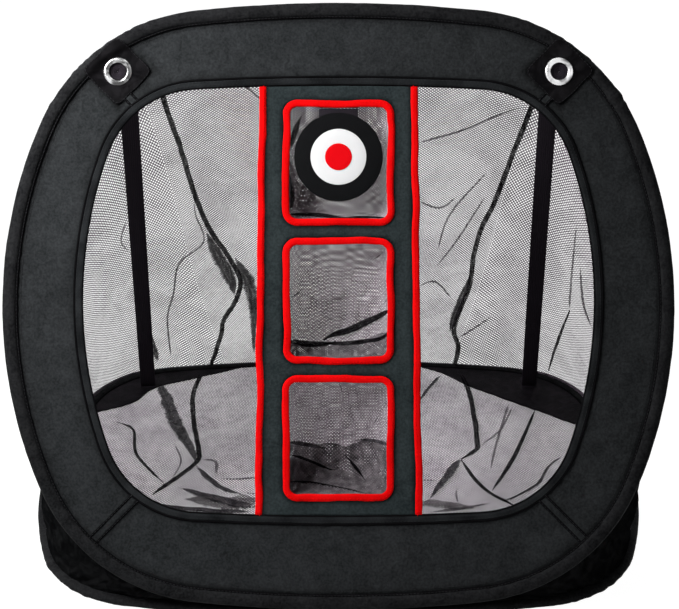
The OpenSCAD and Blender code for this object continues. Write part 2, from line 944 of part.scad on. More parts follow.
// Chrome eyelet: a barrel, a domed flange on the patch and a curl behind the washer
module eyelet(side) {
    front = cloth_t / 2 + patch_t;
    back = -cloth_t / 2 - anchor_t - washer_t;
    half = (eye_flange_r - eye_r) / 2;
    dome_r = (half * half + eye_dome * eye_dome) / 2 / eye_dome;
    curl = 0.7;
    color(chrome)
        on_face()
            on_side(side)
                translate([eye.x, eye.y, 0])
                    rotate_extrude($fn = 72) {
                        translate([eye_r, back - curl])
                            square([eye_barrel - eye_r, front - back + curl]);
                        intersection() {
                            translate([eye_r + half, front + eye_dome - dome_r])
                                circle(r = dome_r, $fn = 48);
                            translate([eye_r, front])
                                square([2 * half, eye_dome + 1]);
                        }
                        intersection() {
                            translate([eye_barrel, back])
                                circle(r = curl, $fn = 32);
                            translate([eye_r, back - curl])
                                square([2 * half, curl]);
                        }
                    }
}

module eyelet_left() eyelet(-1);
module eyelet_right() eyelet(1);

module eyelet_washer(side) {
    color(chrome)
        on_face()
            on_side(side)
                translate([eye.x, eye.y, -cloth_t / 2 - anchor_t - washer_t])
                    difference() {
                        cylinder(r = eye_flange_r - 0.5, h = washer_t, $fn = 72);
                        translate([0, 0, -1])
                            cylinder(r = eye_barrel + 0.05, h = washer_t + 2, $fn = 72);
                    }
}

module eyelet_washer_left() eyelet_washer(-1);
module eyelet_washer_right() eyelet_washer(1);

// ---------------------------------------------------------------- bullseye

module target_tab() {
    color(satin)
        on_face()
            translate([-tab_w / 2, hinge_u + 0.6, tab_z - tab_t / 2])
                cube([tab_w, tab_sewn, tab_t]);
}

module target_flap() {
    color(satin)
        on_face()
            translate([-tab_w / 2, hinge_u - tab_sewn, tab_z - tab_t / 2])
                cube([tab_w, tab_sewn - 0.3, tab_t]);
}

module disc_layer(r, z, t) {
    on_face()
        translate([0, disc_y, z])
            cylinder(r = r, h = t, $fn = 96);
}

module target_disc() {
    color(satin)
        disc_layer(disc_r, disc_back, disc_t);
}

module target_white() {
    color(white)
        disc_layer(white_r, disc_back + disc_t, print_t);
}

module target_red() {
    color(red)
        disc_layer(red_r, disc_back + disc_t + print_t, print_t);
}

base_hoop();
base_ferrule();
base_hem();
floor_net();
rear_patch_left();
rear_patch_right();
foot_tab_left();
foot_tab_right();
foot_eyelet_left();
foot_eyelet_right();
strap_left();
strap_right();
hinge_tape();
corner_gusset_left();
corner_gusset_right();
side_net_left();
side_net_right();
rear_net();
net_seam_left();
net_seam_right();
front_hoop();
front_ferrule();
front_hem();
border_top();
border_bottom();
border_left();
border_right();
mitre_seams();
opening_binding();
target_band();
band_binding_left();
band_binding_right();
window_binding_top();
window_binding_middle();
window_binding_bottom();
pouch_net_top();
pouch_net_middle();
pouch_net_bottom();
eyelet_patch_left();
eyelet_patch_right();
eyelet_left();
eyelet_right();
eyelet_washer_left();
eyelet_washer_right();
strap_anchor_left();
strap_anchor_right();
target_tab();
target_flap();
target_disc();
target_white();
target_red();
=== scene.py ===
"""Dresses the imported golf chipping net: cloth, netting, tape, trim, light and camera."""

import json
import logging
import math
from collections.abc import Iterator
from contextlib import contextmanager
from dataclasses import dataclass
from enum import Enum

import bmesh
import bpy
import numpy as np
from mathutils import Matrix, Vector, noise


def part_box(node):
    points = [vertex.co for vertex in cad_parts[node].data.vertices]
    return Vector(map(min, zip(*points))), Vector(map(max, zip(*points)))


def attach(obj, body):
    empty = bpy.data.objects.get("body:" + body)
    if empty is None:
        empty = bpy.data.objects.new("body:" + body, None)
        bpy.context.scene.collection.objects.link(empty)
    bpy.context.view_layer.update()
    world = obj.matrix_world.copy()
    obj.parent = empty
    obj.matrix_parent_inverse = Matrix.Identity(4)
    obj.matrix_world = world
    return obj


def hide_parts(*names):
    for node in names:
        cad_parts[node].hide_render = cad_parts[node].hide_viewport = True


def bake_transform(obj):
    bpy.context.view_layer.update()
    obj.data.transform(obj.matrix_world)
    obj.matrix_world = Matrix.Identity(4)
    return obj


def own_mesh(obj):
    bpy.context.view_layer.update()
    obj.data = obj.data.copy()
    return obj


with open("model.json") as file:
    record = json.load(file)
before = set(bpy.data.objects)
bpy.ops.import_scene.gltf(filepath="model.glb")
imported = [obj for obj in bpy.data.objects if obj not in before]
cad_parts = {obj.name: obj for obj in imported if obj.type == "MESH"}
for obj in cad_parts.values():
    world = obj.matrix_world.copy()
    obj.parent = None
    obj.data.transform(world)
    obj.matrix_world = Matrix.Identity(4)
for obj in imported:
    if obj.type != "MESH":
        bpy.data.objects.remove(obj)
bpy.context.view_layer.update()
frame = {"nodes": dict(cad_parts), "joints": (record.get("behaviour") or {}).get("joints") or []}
LOG = logging.getLogger("chipping_net")
# The seam shade attribute holds painted shade, partly wear, that darkens cloth along its seams.
SEAM_SHADE, EDGE_FADE = "seam_shade", "edge_fade"
BASE, FRONT, TARGET, ALONG_FOLD = "base", "front_frame", "target", "along_fold"
LEFT, RIGHT = -1, 1
SIDE_NAMES = {LEFT: "left", RIGHT: "right"}
WINDOWS = {"top": 1, "middle": 0, "bottom": -1}
ACROSS = np.array([1.0, 0.0, 0.0])
Array = np.ndarray
Piece = bpy.types.Object
Material = bpy.types.Material
Socket = bpy.types.NodeSocket


# ------------------------------------------------------------------ lines and planes


def run_along(line: Array) -> Array:
    """Distance along a line to each of its points."""
    return np.concatenate([[0.0], np.cumsum(np.linalg.norm(np.diff(line, axis=0), axis=1))])


def unit(vectors: Array) -> Array:
    """Vectors at length 1."""
    return vectors / np.linalg.norm(vectors, axis=-1)[..., None]


def looped(line: Array) -> Array:
    """Line that comes back to its first point."""
    return np.concatenate([line, line[:1]])


def resampled(line: Array, count: int) -> Array:
    """Line in a plane with another number of points."""
    old, new = np.linspace(0, 1, len(line)), np.linspace(0, 1, count)
    return np.array([np.interp(new, old, line[:, k]) for k in (0, 1)]).T


def spanned(first: Array, last: Array, count: int) -> Array:
    """Grid of points from one line over to another."""
    share = np.linspace(0, 1, count)[None, :, None]
    return first[:, None] * (1 - share) + last[:, None] * share


def curve_through(points: Array, step: float) -> Array:
    """Smooth curve through points, with about a step between its own."""
    padded = np.concatenate([2 * points[:1] - points[1:2], points,
                             2 * points[-1:] - points[-2:-1]])
    found = []
    for k in range(1, len(padded) - 2):
        a, b, c, d = padded[k - 1: k + 3]
        count = max(2, math.ceil(np.linalg.norm(c - b) / step))
        for t in np.arange(count) / count:
            found.append(0.5 * (2 * b + (c - a) * t + (2 * a - 5 * b + 4 * c - d) * t * t
                                + (3 * b - a - 3 * c + d) * t ** 3))
    found.append(points[-1])
    return np.array(found)


@dataclass(frozen=True)
class Path:
    """Line in a plane, with the unit vector that points out of it at each station."""

    points: Array
    normals: Array
    closed: bool

    @property
    def run(self) -> Array:
        """Distance along the path to each station."""
        return run_along(self.points)

    def shifted(self, out: Array | float) -> Array:
        """Stations moved outwards, all by one distance or each by its own."""
        return self.points + self.normals * np.reshape(out, (-1, 1))


@dataclass(frozen=True)
class Hoop:
    """Closed outline of tangent arcs: bowed sides, bowed ends and rounder corners.

    A turn runs from 0 at the right over 3 at the top, 6 at the left and 9 at the bottom
    back to 12, and a whole turn ends each arc.
    """

    half_w: float
    half_h: float
    side_r: float
    end_r: float
    corner_r: float

    def corner(self) -> Array:
        """Centre of the upper right corner's arc."""
        side_x = self.half_w - self.side_r
        end_y = self.half_h - self.end_r
        near = self.side_r - self.corner_r
        far = self.end_r - self.corner_r
        apart = math.hypot(side_x, end_y)
        along = (near * near - far * far + apart * apart) / (2 * apart)
        off = math.sqrt(near * near - along * along)
        return np.array([side_x - (along * side_x + off * end_y) / apart,
                         (along * end_y - off * side_x) / apart])

    def bends(self) -> tuple[float, float]:
        """Angles at which the side arc ends and the end arc begins."""
        x, y = self.corner()
        return (math.atan2(y, x - self.half_w + self.side_r),
                math.atan2(y - self.half_h + self.end_r, x))

    def at(self, turn: float, inset: float = 0.0) -> Array:
        """Point of the outline at a turn, pulled in by inset."""
        quarter, turn = divmod(turn % 12, 3)
        if quarter % 2:
            turn = 3 - turn
        first, last = self.bends()
        if turn < 1:
            centre, radius, angle = (self.half_w - self.side_r, 0), self.side_r, turn * first
        elif turn < 2:
            centre, radius = self.corner(), self.corner_r
            angle = first + (turn - 1) * (last - first)
        else:
            centre, radius = (0, self.half_h - self.end_r), self.end_r
            angle = last + (turn - 2) * (math.pi / 2 - last)
        mirror = np.array([-1 if quarter in (1, 2) else 1, -1 if quarter > 1 else 1])
        away = np.array([math.cos(angle), math.sin(angle)])
        return mirror * (np.array(centre) + (radius - inset) * away)

    def path(self, step: float, inset: float = 0.0, first: float = 0.0,
             last: float = 12.0) -> Path:
        """Evenly spaced stations between two turns.

        Args:
            step: Longest distance between two stations.
            inset: Distance that the outline is pulled in.
            first: Turn of the first station.
            last: Turn of the last one. A whole round is a closed path.

        Returns:
            The path, whose normals point out of the hoop.
        """
        dense = np.linspace(first, last, 601)
        run = run_along(np.array([self.at(turn, inset) for turn in dense]))
        count = math.ceil(run[-1] / step)
        closed = last - first >= 12
        marks = np.linspace(0, run[-1], count + 1)[: count if closed else count + 1]
        turns = np.interp(marks, run, dense)
        inner = np.array([self.at(turn, inset) for turn in turns])
        out = np.array([self.at(turn, inset - 0.001) for turn in turns]) - inner
        return Path(inner, unit(out), closed)

    def depth(self, x: Array, y: Array) -> Array:
        """Distance inwards from the outline of points in the hoop's plane."""
        x, y = np.abs(x), np.abs(y)
        first, last = self.bends()
        cx, cy = self.corner()
        side = np.hypot(x - self.half_w + self.side_r, y)
        end = np.hypot(x, y - self.half_h + self.end_r)
        corner = np.hypot(x - cx, y - cy)
        at_side = np.arctan2(y, x - self.half_w + self.side_r) < first
        at_end = np.arctan2(y - self.half_h + self.end_r, x) > last
        return np.where(at_side, self.side_r - side,
                        np.where(at_end, self.end_r - end, self.corner_r - corner))

    def turn_on_ray(self, origin: Array, toward: Array, inset: float,
                    first: float, last: float) -> float:
        """Turn between first and last at which a ray crosses the outline."""
        def side_of(turn: float) -> float:
            """Which side of the ray the outline's point lies on."""
            off = self.at(turn, inset) - origin
            return toward[0] * off[1] - toward[1] * off[0]
        low, high = first, last
        sign = side_of(low)
        for _ in range(40):
            middle = (low + high) / 2
            if side_of(middle) * sign > 0:
                low = middle
            else:
                high = middle
        return (low + high) / 2


@dataclass(frozen=True)
class Plane:
    """Plane that a hoop lies in, with x across, y along it and z out of it."""

    origin: Array
    along: Array
    out: Array

    def place(self, points: Array) -> Array:
        """Takes points of any grid, in the plane's own x, y and z, to the row frame."""
        x, y, z = points[..., 0:1], points[..., 1:2], points[..., 2:3]
        return self.origin + x * ACROSS + y * self.along + z * self.out

    def lay(self, flat: Array, height: Array | float = 0.0) -> Array:
        """Takes points of the plane, at a height over it, to the row frame."""
        flat = np.asarray(flat, float)
        heights = np.broadcast_to(height, flat.shape[:-1])[..., None]
        return self.place(np.concatenate([flat, heights], axis=-1))


@dataclass(frozen=True)
class NetSizes:
    """Driving sizes of the net, in metres and radians."""

    lean: float = math.radians(26.3)
    hem_w: float = 0.0135
    hem_t: float = 0.009
    seat: float = 0.0003
    fold_gap: float = 0.00025
    cloth_t: float = 0.001
    border_top: float = 0.0795
    border_foot: float = 0.0905
    border_side: float = 0.0775
    mitre_turn: float = math.radians(52.6)
    lip_w: float = 0.0074
    trim_w: float = 0.0075
    trim_t: float = 0.003
    net_slack: float = 0.010
    face: Hoop = Hoop(0.325, 0.2935, 0.445, 1.280, 0.184)
    base: Hoop = Hoop(0.328, 0.260, 0.520, 1.280, 0.120)

    @property
    def opening(self) -> Hoop:
        """Outline of the opening, whose middle lies open_y above the face's."""
        return Hoop(self.face.half_w - self.border_side,
                    self.face.half_h - (self.border_top + self.border_foot) / 2,
                    0.424, 2.530, 0.0945)

    @property
    def open_y(self) -> float:
        """Height of the opening's middle over the face's middle."""
        return (self.border_foot - self.border_top) / 2

    @property
    def hem_r(self) -> float:
        """Half the hem's thickness."""
        return self.hem_t / 2


SIZES = NetSizes()
HINGE = np.array(frame["joints"][0]["pos_m"])


def face_plane() -> Plane:
    """Middle plane of the leaning face, with its origin at the face's middle."""
    along = np.array([0.0, math.sin(SIZES.lean), math.cos(SIZES.lean)])
    out = np.array([0.0, -math.cos(SIZES.lean), math.sin(SIZES.lean)])
    rise = SIZES.hem_r + SIZES.fold_gap
    foot = ((SIZES.hem_r + SIZES.seat - SIZES.fold_gap - rise * math.sin(SIZES.lean))
            / math.cos(SIZES.lean) - SIZES.hem_r)
    return Plane(HINGE + (foot + SIZES.face.half_h) * along + rise * out, along, out)


def ground_plane() -> Plane:
    """Middle plane of the ground hoop, with its origin at the hoop's middle."""
    middle = HINGE[1] + SIZES.base.half_h - SIZES.hem_w / 2
    return Plane(np.array([0.0, middle, SIZES.hem_r]), np.array([0.0, 1, 0]),
                 np.array([0.0, 0, 1]))


FACE = face_plane()
GROUND = ground_plane()


def smooth(low: float, high: float, value: Array) -> Array:
    """Smooth step from 0 at low to 1 at high."""
    t = np.clip((value - low) / (high - low), 0, 1)
    return t * t * (3 - 2 * t)


def rough(x: Array, y: Array, scale: float, seed: float, octaves: int = 3) -> Array:
    """Layered noise of about -1 to 1 over two coordinates.

    Args:
        x: First coordinate of each point.
        y: Second coordinate of each point.
        scale: Size of the largest bumps.
        seed: Place in the noise, so that two pieces differ.
        octaves: Number of layers.

    Returns:
        An array shaped as x.
    """
    x, y = np.broadcast_arrays(np.asarray(x, float), np.asarray(y, float))
    flat = [noise.fractal((a / scale, b / scale, seed), 1.0, 2.0, octaves)
            for a, b in zip(x.ravel(), y.ravel())]
    return np.array(flat).reshape(x.shape)


# ------------------------------------------------------------------ shader maths


class Value:
    """A socket that carries a number, with the operators that add Math nodes."""

    def __init__(self, tree: "Nodes", socket: Socket) -> None:
        """Wraps a socket of a node tree."""
        self.tree = tree
        self.socket = socket

    def math(self, operation: str, *others: "Value | float") -> "Value":
        """Result of a Math node on this value and others."""
        inputs = dict(enumerate([self, *others]))
        made = self.tree.node("ShaderNodeMath", inputs, operation=operation)
        return Value(self.tree, made[0])

    def __add__(self, other: "Value | float") -> "Value":
        """Sum."""
        return self.math("ADD", other)

    def __mul__(self, other: "Value | float") -> "Value":
        """Product."""
        return self.math("MULTIPLY", other)

    def __sub__(self, other: "Value | float") -> "Value":
        """Difference."""
        return self.math("SUBTRACT", other)

    def __rsub__(self, other: float) -> "Value":
        """Difference from a number."""
        return self * -1.0 + other

    __radd__ = __add__
    __rmul__ = __mul__

    def wave(self) -> "Value":
        """Sine of a whole number of turns, from 0 to 1."""
        return (self * (2 * math.pi)).math("SINE") * 0.5 + 0.5

    def ridge(self) -> "Value":
        """Distance to the nearest whole number, from 0 to 0.5."""
        return self.math("PINGPONG", 0.5)

    def larger(self, other: "Value") -> "Value":
        """The larger of two values."""
        return self.math("MAXIMUM", other)

    def step(self, low: float, high: float) -> "Value":
        """Smooth step from 0 at low to 1 at high."""
        ends = {"Value": self, "From Min": low, "From Max": high}
        return Value(self.tree, self.tree.node("ShaderNodeMapRange", ends,
                                               interpolation_type="SMOOTHSTEP")[0])


class Nodes:
    """A node tree under construction."""

    def __init__(self, tree: bpy.types.NodeTree) -> None:
        """Takes the tree that the nodes go in."""
        self.tree, self.nodes, self.links = tree, tree.nodes, tree.links

    def node(self, kind: str, sockets: dict | None = None,
             **settings: object) -> "bpy.types.NodeOutputs":
        """Adds a node.

        Args:
            kind: The node's type.
            sockets: Inputs by name or index, as a Value, a socket or a plain value.
            settings: Attributes of the node, set first.

        Returns:
            The node's outputs.
        """
        node = self.nodes.new(kind)
        for name, setting in settings.items():
            setattr(node, name, setting)
        for key, value in (sockets or {}).items():
            self.set(node.inputs[key], value)
        return node.outputs

    def set(self, target: Socket, value: object) -> None:
        """Links a socket or a Value to an input, or sets a plain value on it."""
        if isinstance(value, Value):
            value = value.socket
        if isinstance(value, Socket):
            self.links.new(value, target)
        else:
            target.default_value = value


class Shader(Nodes):
    """The nodes of a material or of the world."""

    def __init__(self, owner: bpy.types.ID) -> None:
        """Starts the nodes of a material or a world."""
        owner.use_nodes = True
        super().__init__(owner.node_tree)
        self.owner = owner
        self.surface = self.nodes.get("Principled BSDF")

    def uv(self, pitch: float) -> tuple[Value, Value]:
        """The piece's own UV coordinates, in steps of a pitch in metres."""
        split = self.node("ShaderNodeSeparateXYZ", {0: self.node("ShaderNodeTexCoord")["UV"]})
        return Value(self, split["X"]) * (1 / pitch), Value(self, split["Y"]) * (1 / pitch)

    def attribute(self, name: str) -> Value:
        """A piece's own attribute, 0 on a piece without it."""
        return Value(self, self.node("ShaderNodeAttribute", attribute_name=name)["Fac"])

    def noise(self, scale: float, detail: float = 3.0, distortion: float = 0.0) -> Value:
        """Noise over Object coordinates, with about scale bumps in a metre."""
        coords = self.node("ShaderNodeTexCoord")["Object"]
        return Value(self, self.node("ShaderNodeTexNoise", {
            "Vector": coords, "Scale": scale, "Detail": detail,
            "Distortion": distortion})["Fac"])

    def seen(self) -> Value:
        """1 for rays from the camera, off gloss or through glass."""
        rays = self.node("ShaderNodeLightPath")
        found = Value(self, rays["Is Camera Ray"])
        for kind in ("Is Glossy Ray", "Is Transmission Ray"):
            found = found.larger(Value(self, rays[kind]))
        return found

    def mix(self, low: object, high: tuple, factor: Value) -> Socket:
        """Colour between a colour or a socket and another colour."""
        low = (*low, 1.0) if isinstance(low, tuple) else low
        return self.node("ShaderNodeMix", {0: factor, "A": low, "B": (*high, 1.0)},
                         data_type="RGBA")["Result"]

    def bump(self, height: Value, distance: float, strength: float) -> None:
        """Relief of a height from 0 to 1 over a distance in metres."""
        made = self.node("ShaderNodeBump", {"Height": height, "Distance": distance,
                                            "Strength": strength})
        self.set(self.surface.inputs["Normal"], made["Normal"])

    def dress(self, **sockets: object) -> Material:
        """Sets the surface's inputs, with spaces written as underlines."""
        for name, value in sockets.items():
            self.set(self.surface.inputs[name.replace("_", " ")], value)
        return self.owner


# ------------------------------------------------------------------ finishes


@dataclass(frozen=True)
class Finish:
    """Finish between two colours.

    Attributes:
        name: Name of the material.
        dark: Colour of its hollows and dark patches; where it follows the relief it is painted
            shade.
        light: Colour of its crowns and bright patches; where it follows the relief it is a painted
            highlight.
        light: Colour of its crowns.
        roughness: Roughness of the surface.
        gloss: Specular level of the surface.
    """

    name: str
    dark: tuple
    light: tuple
    roughness: float = 0.85
    gloss: float = 0.02

    def make(self) -> Material:
        """Builds the material."""
        shader = Shader(bpy.data.materials.new(self.name))
        return shader.dress(Specular_IOR_Level=self.gloss, **self.paint(shader))

    def paint(self, shader: Shader) -> dict[str, object]:
        """Gives the inputs of the surface that its own pattern sets."""
        raise NotImplementedError


@dataclass(frozen=True)
class WovenCloth(Finish):
    """Plain-woven cloth with mottling and fine crumples, darkened along its seams by painted shade
    and wear.
    """

    roughness: float = 0.78
    gloss: float = 0.0
    crumple: float = 0.0020
    pitch: float = 0.0011

    def paint(self, shader: Shader) -> dict[str, object]:
        """Threads, mottling and folds; the thread and fold hollows also take the dark colour,
        painted shade that follows the bump.
        """
        u, v = shader.uv(self.pitch)
        threads = u.wave() * v.wave() + (1.0 - u.wave()) * (1.0 - v.wave())
        folds = shader.noise(95.0, 5.0, 1.4)
        tone = (shader.noise(34.0, 5.0, 0.6).step(0.3, 0.7) * 0.25 + threads * 0.15
                + folds.step(0.3, 0.7) * 0.25 + shader.noise(460.0, 2.0).step(0.35, 0.65) * 0.35)
        colour = shader.mix(self.dark, self.light, tone)
        shader.bump(threads * 0.14 + folds * 0.86, self.crumple, 0.6)
        # The seam shade attribute mixes the colour towards near black: painted shade and wear
        # along the seams.
        return {"Base_Color": shader.mix(colour, (0.002,) * 3, shader.attribute(SEAM_SHADE)),
                "Roughness": self.roughness - 0.12 * folds}


@dataclass(frozen=True)
class SatinCloth(Finish):
    """Black lining cloth with a fine twill, soft creases and a low gloss, with painted highlights
    on its crease crowns.
    """

    roughness: float = 0.5
    gloss: float = 0.05

    def paint(self, shader: Shader) -> dict[str, object]:
        """Creases over twill; the crease crowns take the light colour, a painted highlight."""
        u, v = shader.uv(0.0009)
        creases = shader.noise(55.0, 5.0, 1.6)
        shader.bump(creases * 0.85 + (u + v).wave() * 0.15, 0.0015, 0.7)
        return {"Base_Color": shader.mix(self.dark, self.light, creases.step(0.35, 0.75)),
                "Roughness": creases * 0.25 + self.roughness}


@dataclass(frozen=True)
class Tape(Finish):
    """Folded binding tape or thread, with fine ribs and wear."""

    roughness: float = 0.62
    gloss: float = 0.08
    pitch: float = 0.0012

    def paint(self, shader: Shader) -> dict[str, object]:
        """Wear over ribs."""
        u, v = shader.uv(self.pitch)
        ribs = u.wave() * 0.7 + (v * 1.7).wave() * 0.3
        wear = shader.noise(45.0, 4.0)
        tone = wear.step(0.25, 0.7) * 0.75 + ribs * 0.25
        shader.bump(ribs * 0.4 + wear * 0.6, 0.0006, 0.6)
        return {"Base_Color": shader.mix(self.dark, self.light, tone),
                "Roughness": wear * 0.15 + self.roughness}


@dataclass(frozen=True)
class Webbing(Finish):
    """Heavy flat webbing with slanting ribs."""

    gloss: float = 0.08

    def paint(self, shader: Shader) -> dict[str, object]:
        """Ribs with a little fuzz."""
        u, v = shader.uv(0.0021)
        ribs = (v + u.ridge() * 1.2).wave()
        shader.bump(ribs, 0.0005, 0.8)
        tone = ribs * 0.7 + shader.noise(900.0, 2.0) * 0.3
        return {"Base_Color": shader.mix(self.dark, self.light, tone),
                "Roughness": self.roughness - 0.1 * ribs}


@dataclass(frozen=True)
class Netting(Finish):
    """Knitted mesh of slanting threads that is clear between them.

    Attributes:
        thread: Width of a thread.
        veil: Share of the gaps that further layers of mesh close.
        cloud: Thickness that the threads gain where the mesh is crowded.
        pitch: Distance between two threads.
    """

    thread: float = 0.00112
    veil: float = 0.0
    cloud: float = 0.0
    pitch: float = 0.0025

    def paint(self, shader: Shader) -> dict[str, object]:
        """Threads both ways, and the veil of further layers with frayed edges."""
        u, v = shader.uv(self.pitch * math.sqrt(2))
        half = self.thread / self.pitch / 2
        crowd = shader.noise(16.0, 3.0, 0.8).step(0.35, 0.7) * self.cloud
        across, along = (((line.ridge() - crowd - half * 0.8) * (1 / (half * 0.4)))
                         for line in (u + v, u - v))
        alpha = 1.0 - across.math("MINIMUM", along).step(0.0, 1.0)
        if self.veil > 0:
            clumps = shader.noise(230.0, 3.0, 0.4).step(0.25, 0.7)
            cover = clumps * (self.veil * 0.35) + self.veil * 0.65
            frayed = shader.attribute(EDGE_FADE) + (shader.noise(260.0, 3.0) - 0.5) * 0.9
            core = 0.7 if self.veil == 1 else 0.3
            alpha = alpha.larger(cover) * (1.0 - frayed.step(core, core + 0.5))
        tone = shader.noise(120.0, 3.0).step(0.3, 0.7)
        return {"Base_Color": shader.mix(self.dark, self.light, tone), "Alpha": alpha,
                "Roughness": self.roughness}


@dataclass(frozen=True)
class Felt(Finish):
    """Felt with short fibres, over a stiff core."""

    roughness: float = 0.92
    gloss: float = 0.03
    relief: float = 0.0006

    def paint(self, shader: Shader) -> dict[str, object]:
        """Fibres in patches."""
        fibres = shader.noise(1400.0, 3.0, 2.0)
        tone = fibres * 0.5 + shader.noise(60.0, 3.0) * 0.5
        shader.bump(fibres, self.relief, 0.8)
        return {"Base_Color": shader.mix(self.dark, self.light, tone), "Roughness": self.roughness}


@dataclass(frozen=True)
class Metal(Finish):
    """Plated or drawn metal with faint smeared patches and scratches; on the chrome the strong
    dark and bright patches are painted reflections.
    """

    gloss: float = 0.5
    scale: float = 240.0

    def paint(self, shader: Shader) -> dict[str, object]:
        """Smeared patches and painted reflections over fine scratches."""
        smears_and_painted_reflections = shader.noise(self.scale, 2.0, 0.5)
        shader.bump(shader.noise(2600.0, 2.0, 3.0), 0.00002, 0.3)
        return {"Base_Color": shader.mix(self.dark, self.light, smears_and_painted_reflections.step(0.36, 0.62)),
                "Metallic": 1.0, "Roughness": smears_and_painted_reflections * 0.08 + self.roughness}


FINISHES: dict[str, Finish] = {
    "border": WovenCloth("charcoal_border_cloth", (0.010, 0.0108, 0.0112),
                         (0.032, 0.0345, 0.0365), crumple=0.0026),
    "hem": WovenCloth("charcoal_hem_cloth", (0.0025, 0.0025, 0.003),
                      (0.020, 0.0205, 0.0215), roughness=0.6, gloss=0.01),
    "band": WovenCloth("charcoal_band_cloth", (0.012, 0.0165, 0.0175),
                       (0.034, 0.044, 0.046), crumple=0.0018),
    "lip": Tape("charcoal_lip_tape", (0.006, 0.0065, 0.007), (0.021, 0.023, 0.0245),
                gloss=0.0),
    # Near-black strips along the seams: painted shadow of the seam grooves.
    "groove": Tape("black_seam_cloth", (0.0012, 0.0012, 0.0014), (0.0035, 0.0035, 0.004),
                   gloss=0.02),
    "satin": SatinCloth("black_satin_cloth", (0.0042, 0.0036, 0.0048),
                        (0.0175, 0.015, 0.0185)),
    "patch": SatinCloth("black_patch_cloth", (0.0022, 0.002, 0.0024),
                        (0.0085, 0.008, 0.009), gloss=0.02),
    # The lining's light colour gives painted highlights on its creases.
    "lining": SatinCloth("black_lining_cloth", (0.0032, 0.0033, 0.0036),
                         (0.0095, 0.0098, 0.0102), gloss=0.0),
    "webbing": Webbing("black_webbing", (0.009, 0.007, 0.010), (0.026, 0.021, 0.028)),
    "red": Tape("red_binding_tape", (0.55, 0.0004, 0.0008), (0.72, 0.002, 0.003),
                pitch=0.0014, gloss=0.03),
    "net": Netting("fine_netting", (0.20, 0.145, 0.20), (0.38, 0.30, 0.385),
                   thread=0.00086, cloud=0.045),
    "floor_net": Netting("floor_netting", (0.165, 0.125, 0.165), (0.305, 0.245, 0.31),
                         thread=0.00118, cloud=0.05),
    "pouch": Netting("pouch_netting", (0.14, 0.115, 0.13), (0.26, 0.225, 0.25),
                     thread=0.00104, cloud=0.03),
    # Darker copies of the net for folds and extra layers: the veil adds real layers of mesh, and
    # the darker colours are painted shade in the folds. The seam colour also dresses the real seam
    # tapes.
    "doubled": Netting("doubled_netting", (0.05, 0.044, 0.049), (0.12, 0.108, 0.116),
                       thread=0.0012, veil=0.25),
    "gathered": Netting("gathered_netting", (0.010, 0.009, 0.011), (0.055, 0.05, 0.057),
                        veil=0.88),
    "seam": Netting("seam_netting", (0.0015, 0.0012, 0.0018), (0.007, 0.006, 0.0075),
                    veil=1.0),
    "crease": Netting("creased_netting", (0.06, 0.05, 0.06), (0.15, 0.13, 0.15), veil=0.5),
    "thread": Tape("black_thread", (0.006, 0.006, 0.007), (0.02, 0.02, 0.022),
                   pitch=0.0004),
    "red_thread": Tape("red_thread", (0.6, 0.0004, 0.0008), (0.9, 0.002, 0.003),
                       pitch=0.0004, gloss=0.03),
    "black_felt": Felt("black_felt", (0.003, 0.003, 0.0035), (0.0085, 0.009, 0.0095)),
    "white_felt": Felt("white_print", (0.62, 0.62, 0.63), (0.69, 0.69, 0.69),
                       relief=0.0002),
    "red_felt": Felt("red_print", (0.56, 0.0015, 0.004), (0.66, 0.003, 0.007),
                     relief=0.0002),
    # Chrome runs from near black to bright in patches: painted reflections.
    "chrome": Metal("chrome_plate", (0.096, 0.096, 0.0972), (0.80, 0.80, 0.81), 0.2,
                    scale=75.0),
    "steel": Metal("spring_steel_wire", (0.4816, 0.4902, 0.4988), (0.56, 0.57, 0.58),
                   0.32)}


# ------------------------------------------------------------------ meshes


class Facing(Enum):
    """Which way a sheet's faces look, as the order of its corners."""

    ROWS_FIRST = 0
    COLUMNS_FIRST = 1
    SOLID = 2


NET_FACING = {LEFT: Facing.ROWS_FIRST, RIGHT: Facing.COLUMNS_FIRST}


def add_object(name: str, data: bpy.types.ID) -> Piece:
    """Adds an object to the scene."""
    made = bpy.data.objects.new(name, data)
    bpy.context.scene.collection.objects.link(made)
    return made


@contextmanager
def edited(mesh: bpy.types.Mesh) -> Iterator[bmesh.types.BMesh]:
    """Opens a mesh for an edit and writes it back."""
    shape = bmesh.new()
    shape.from_mesh(mesh)
    yield shape
    shape.to_mesh(mesh)
    shape.free()


def running(points: Array, axis: int, wrap: bool = False) -> Array:
    """Distance along the middle line of a grid, one longer where the grid wraps."""
    line = np.take(points, points.shape[1 - axis] // 2, axis=1 - axis)
    return run_along(looped(line) if wrap else line)


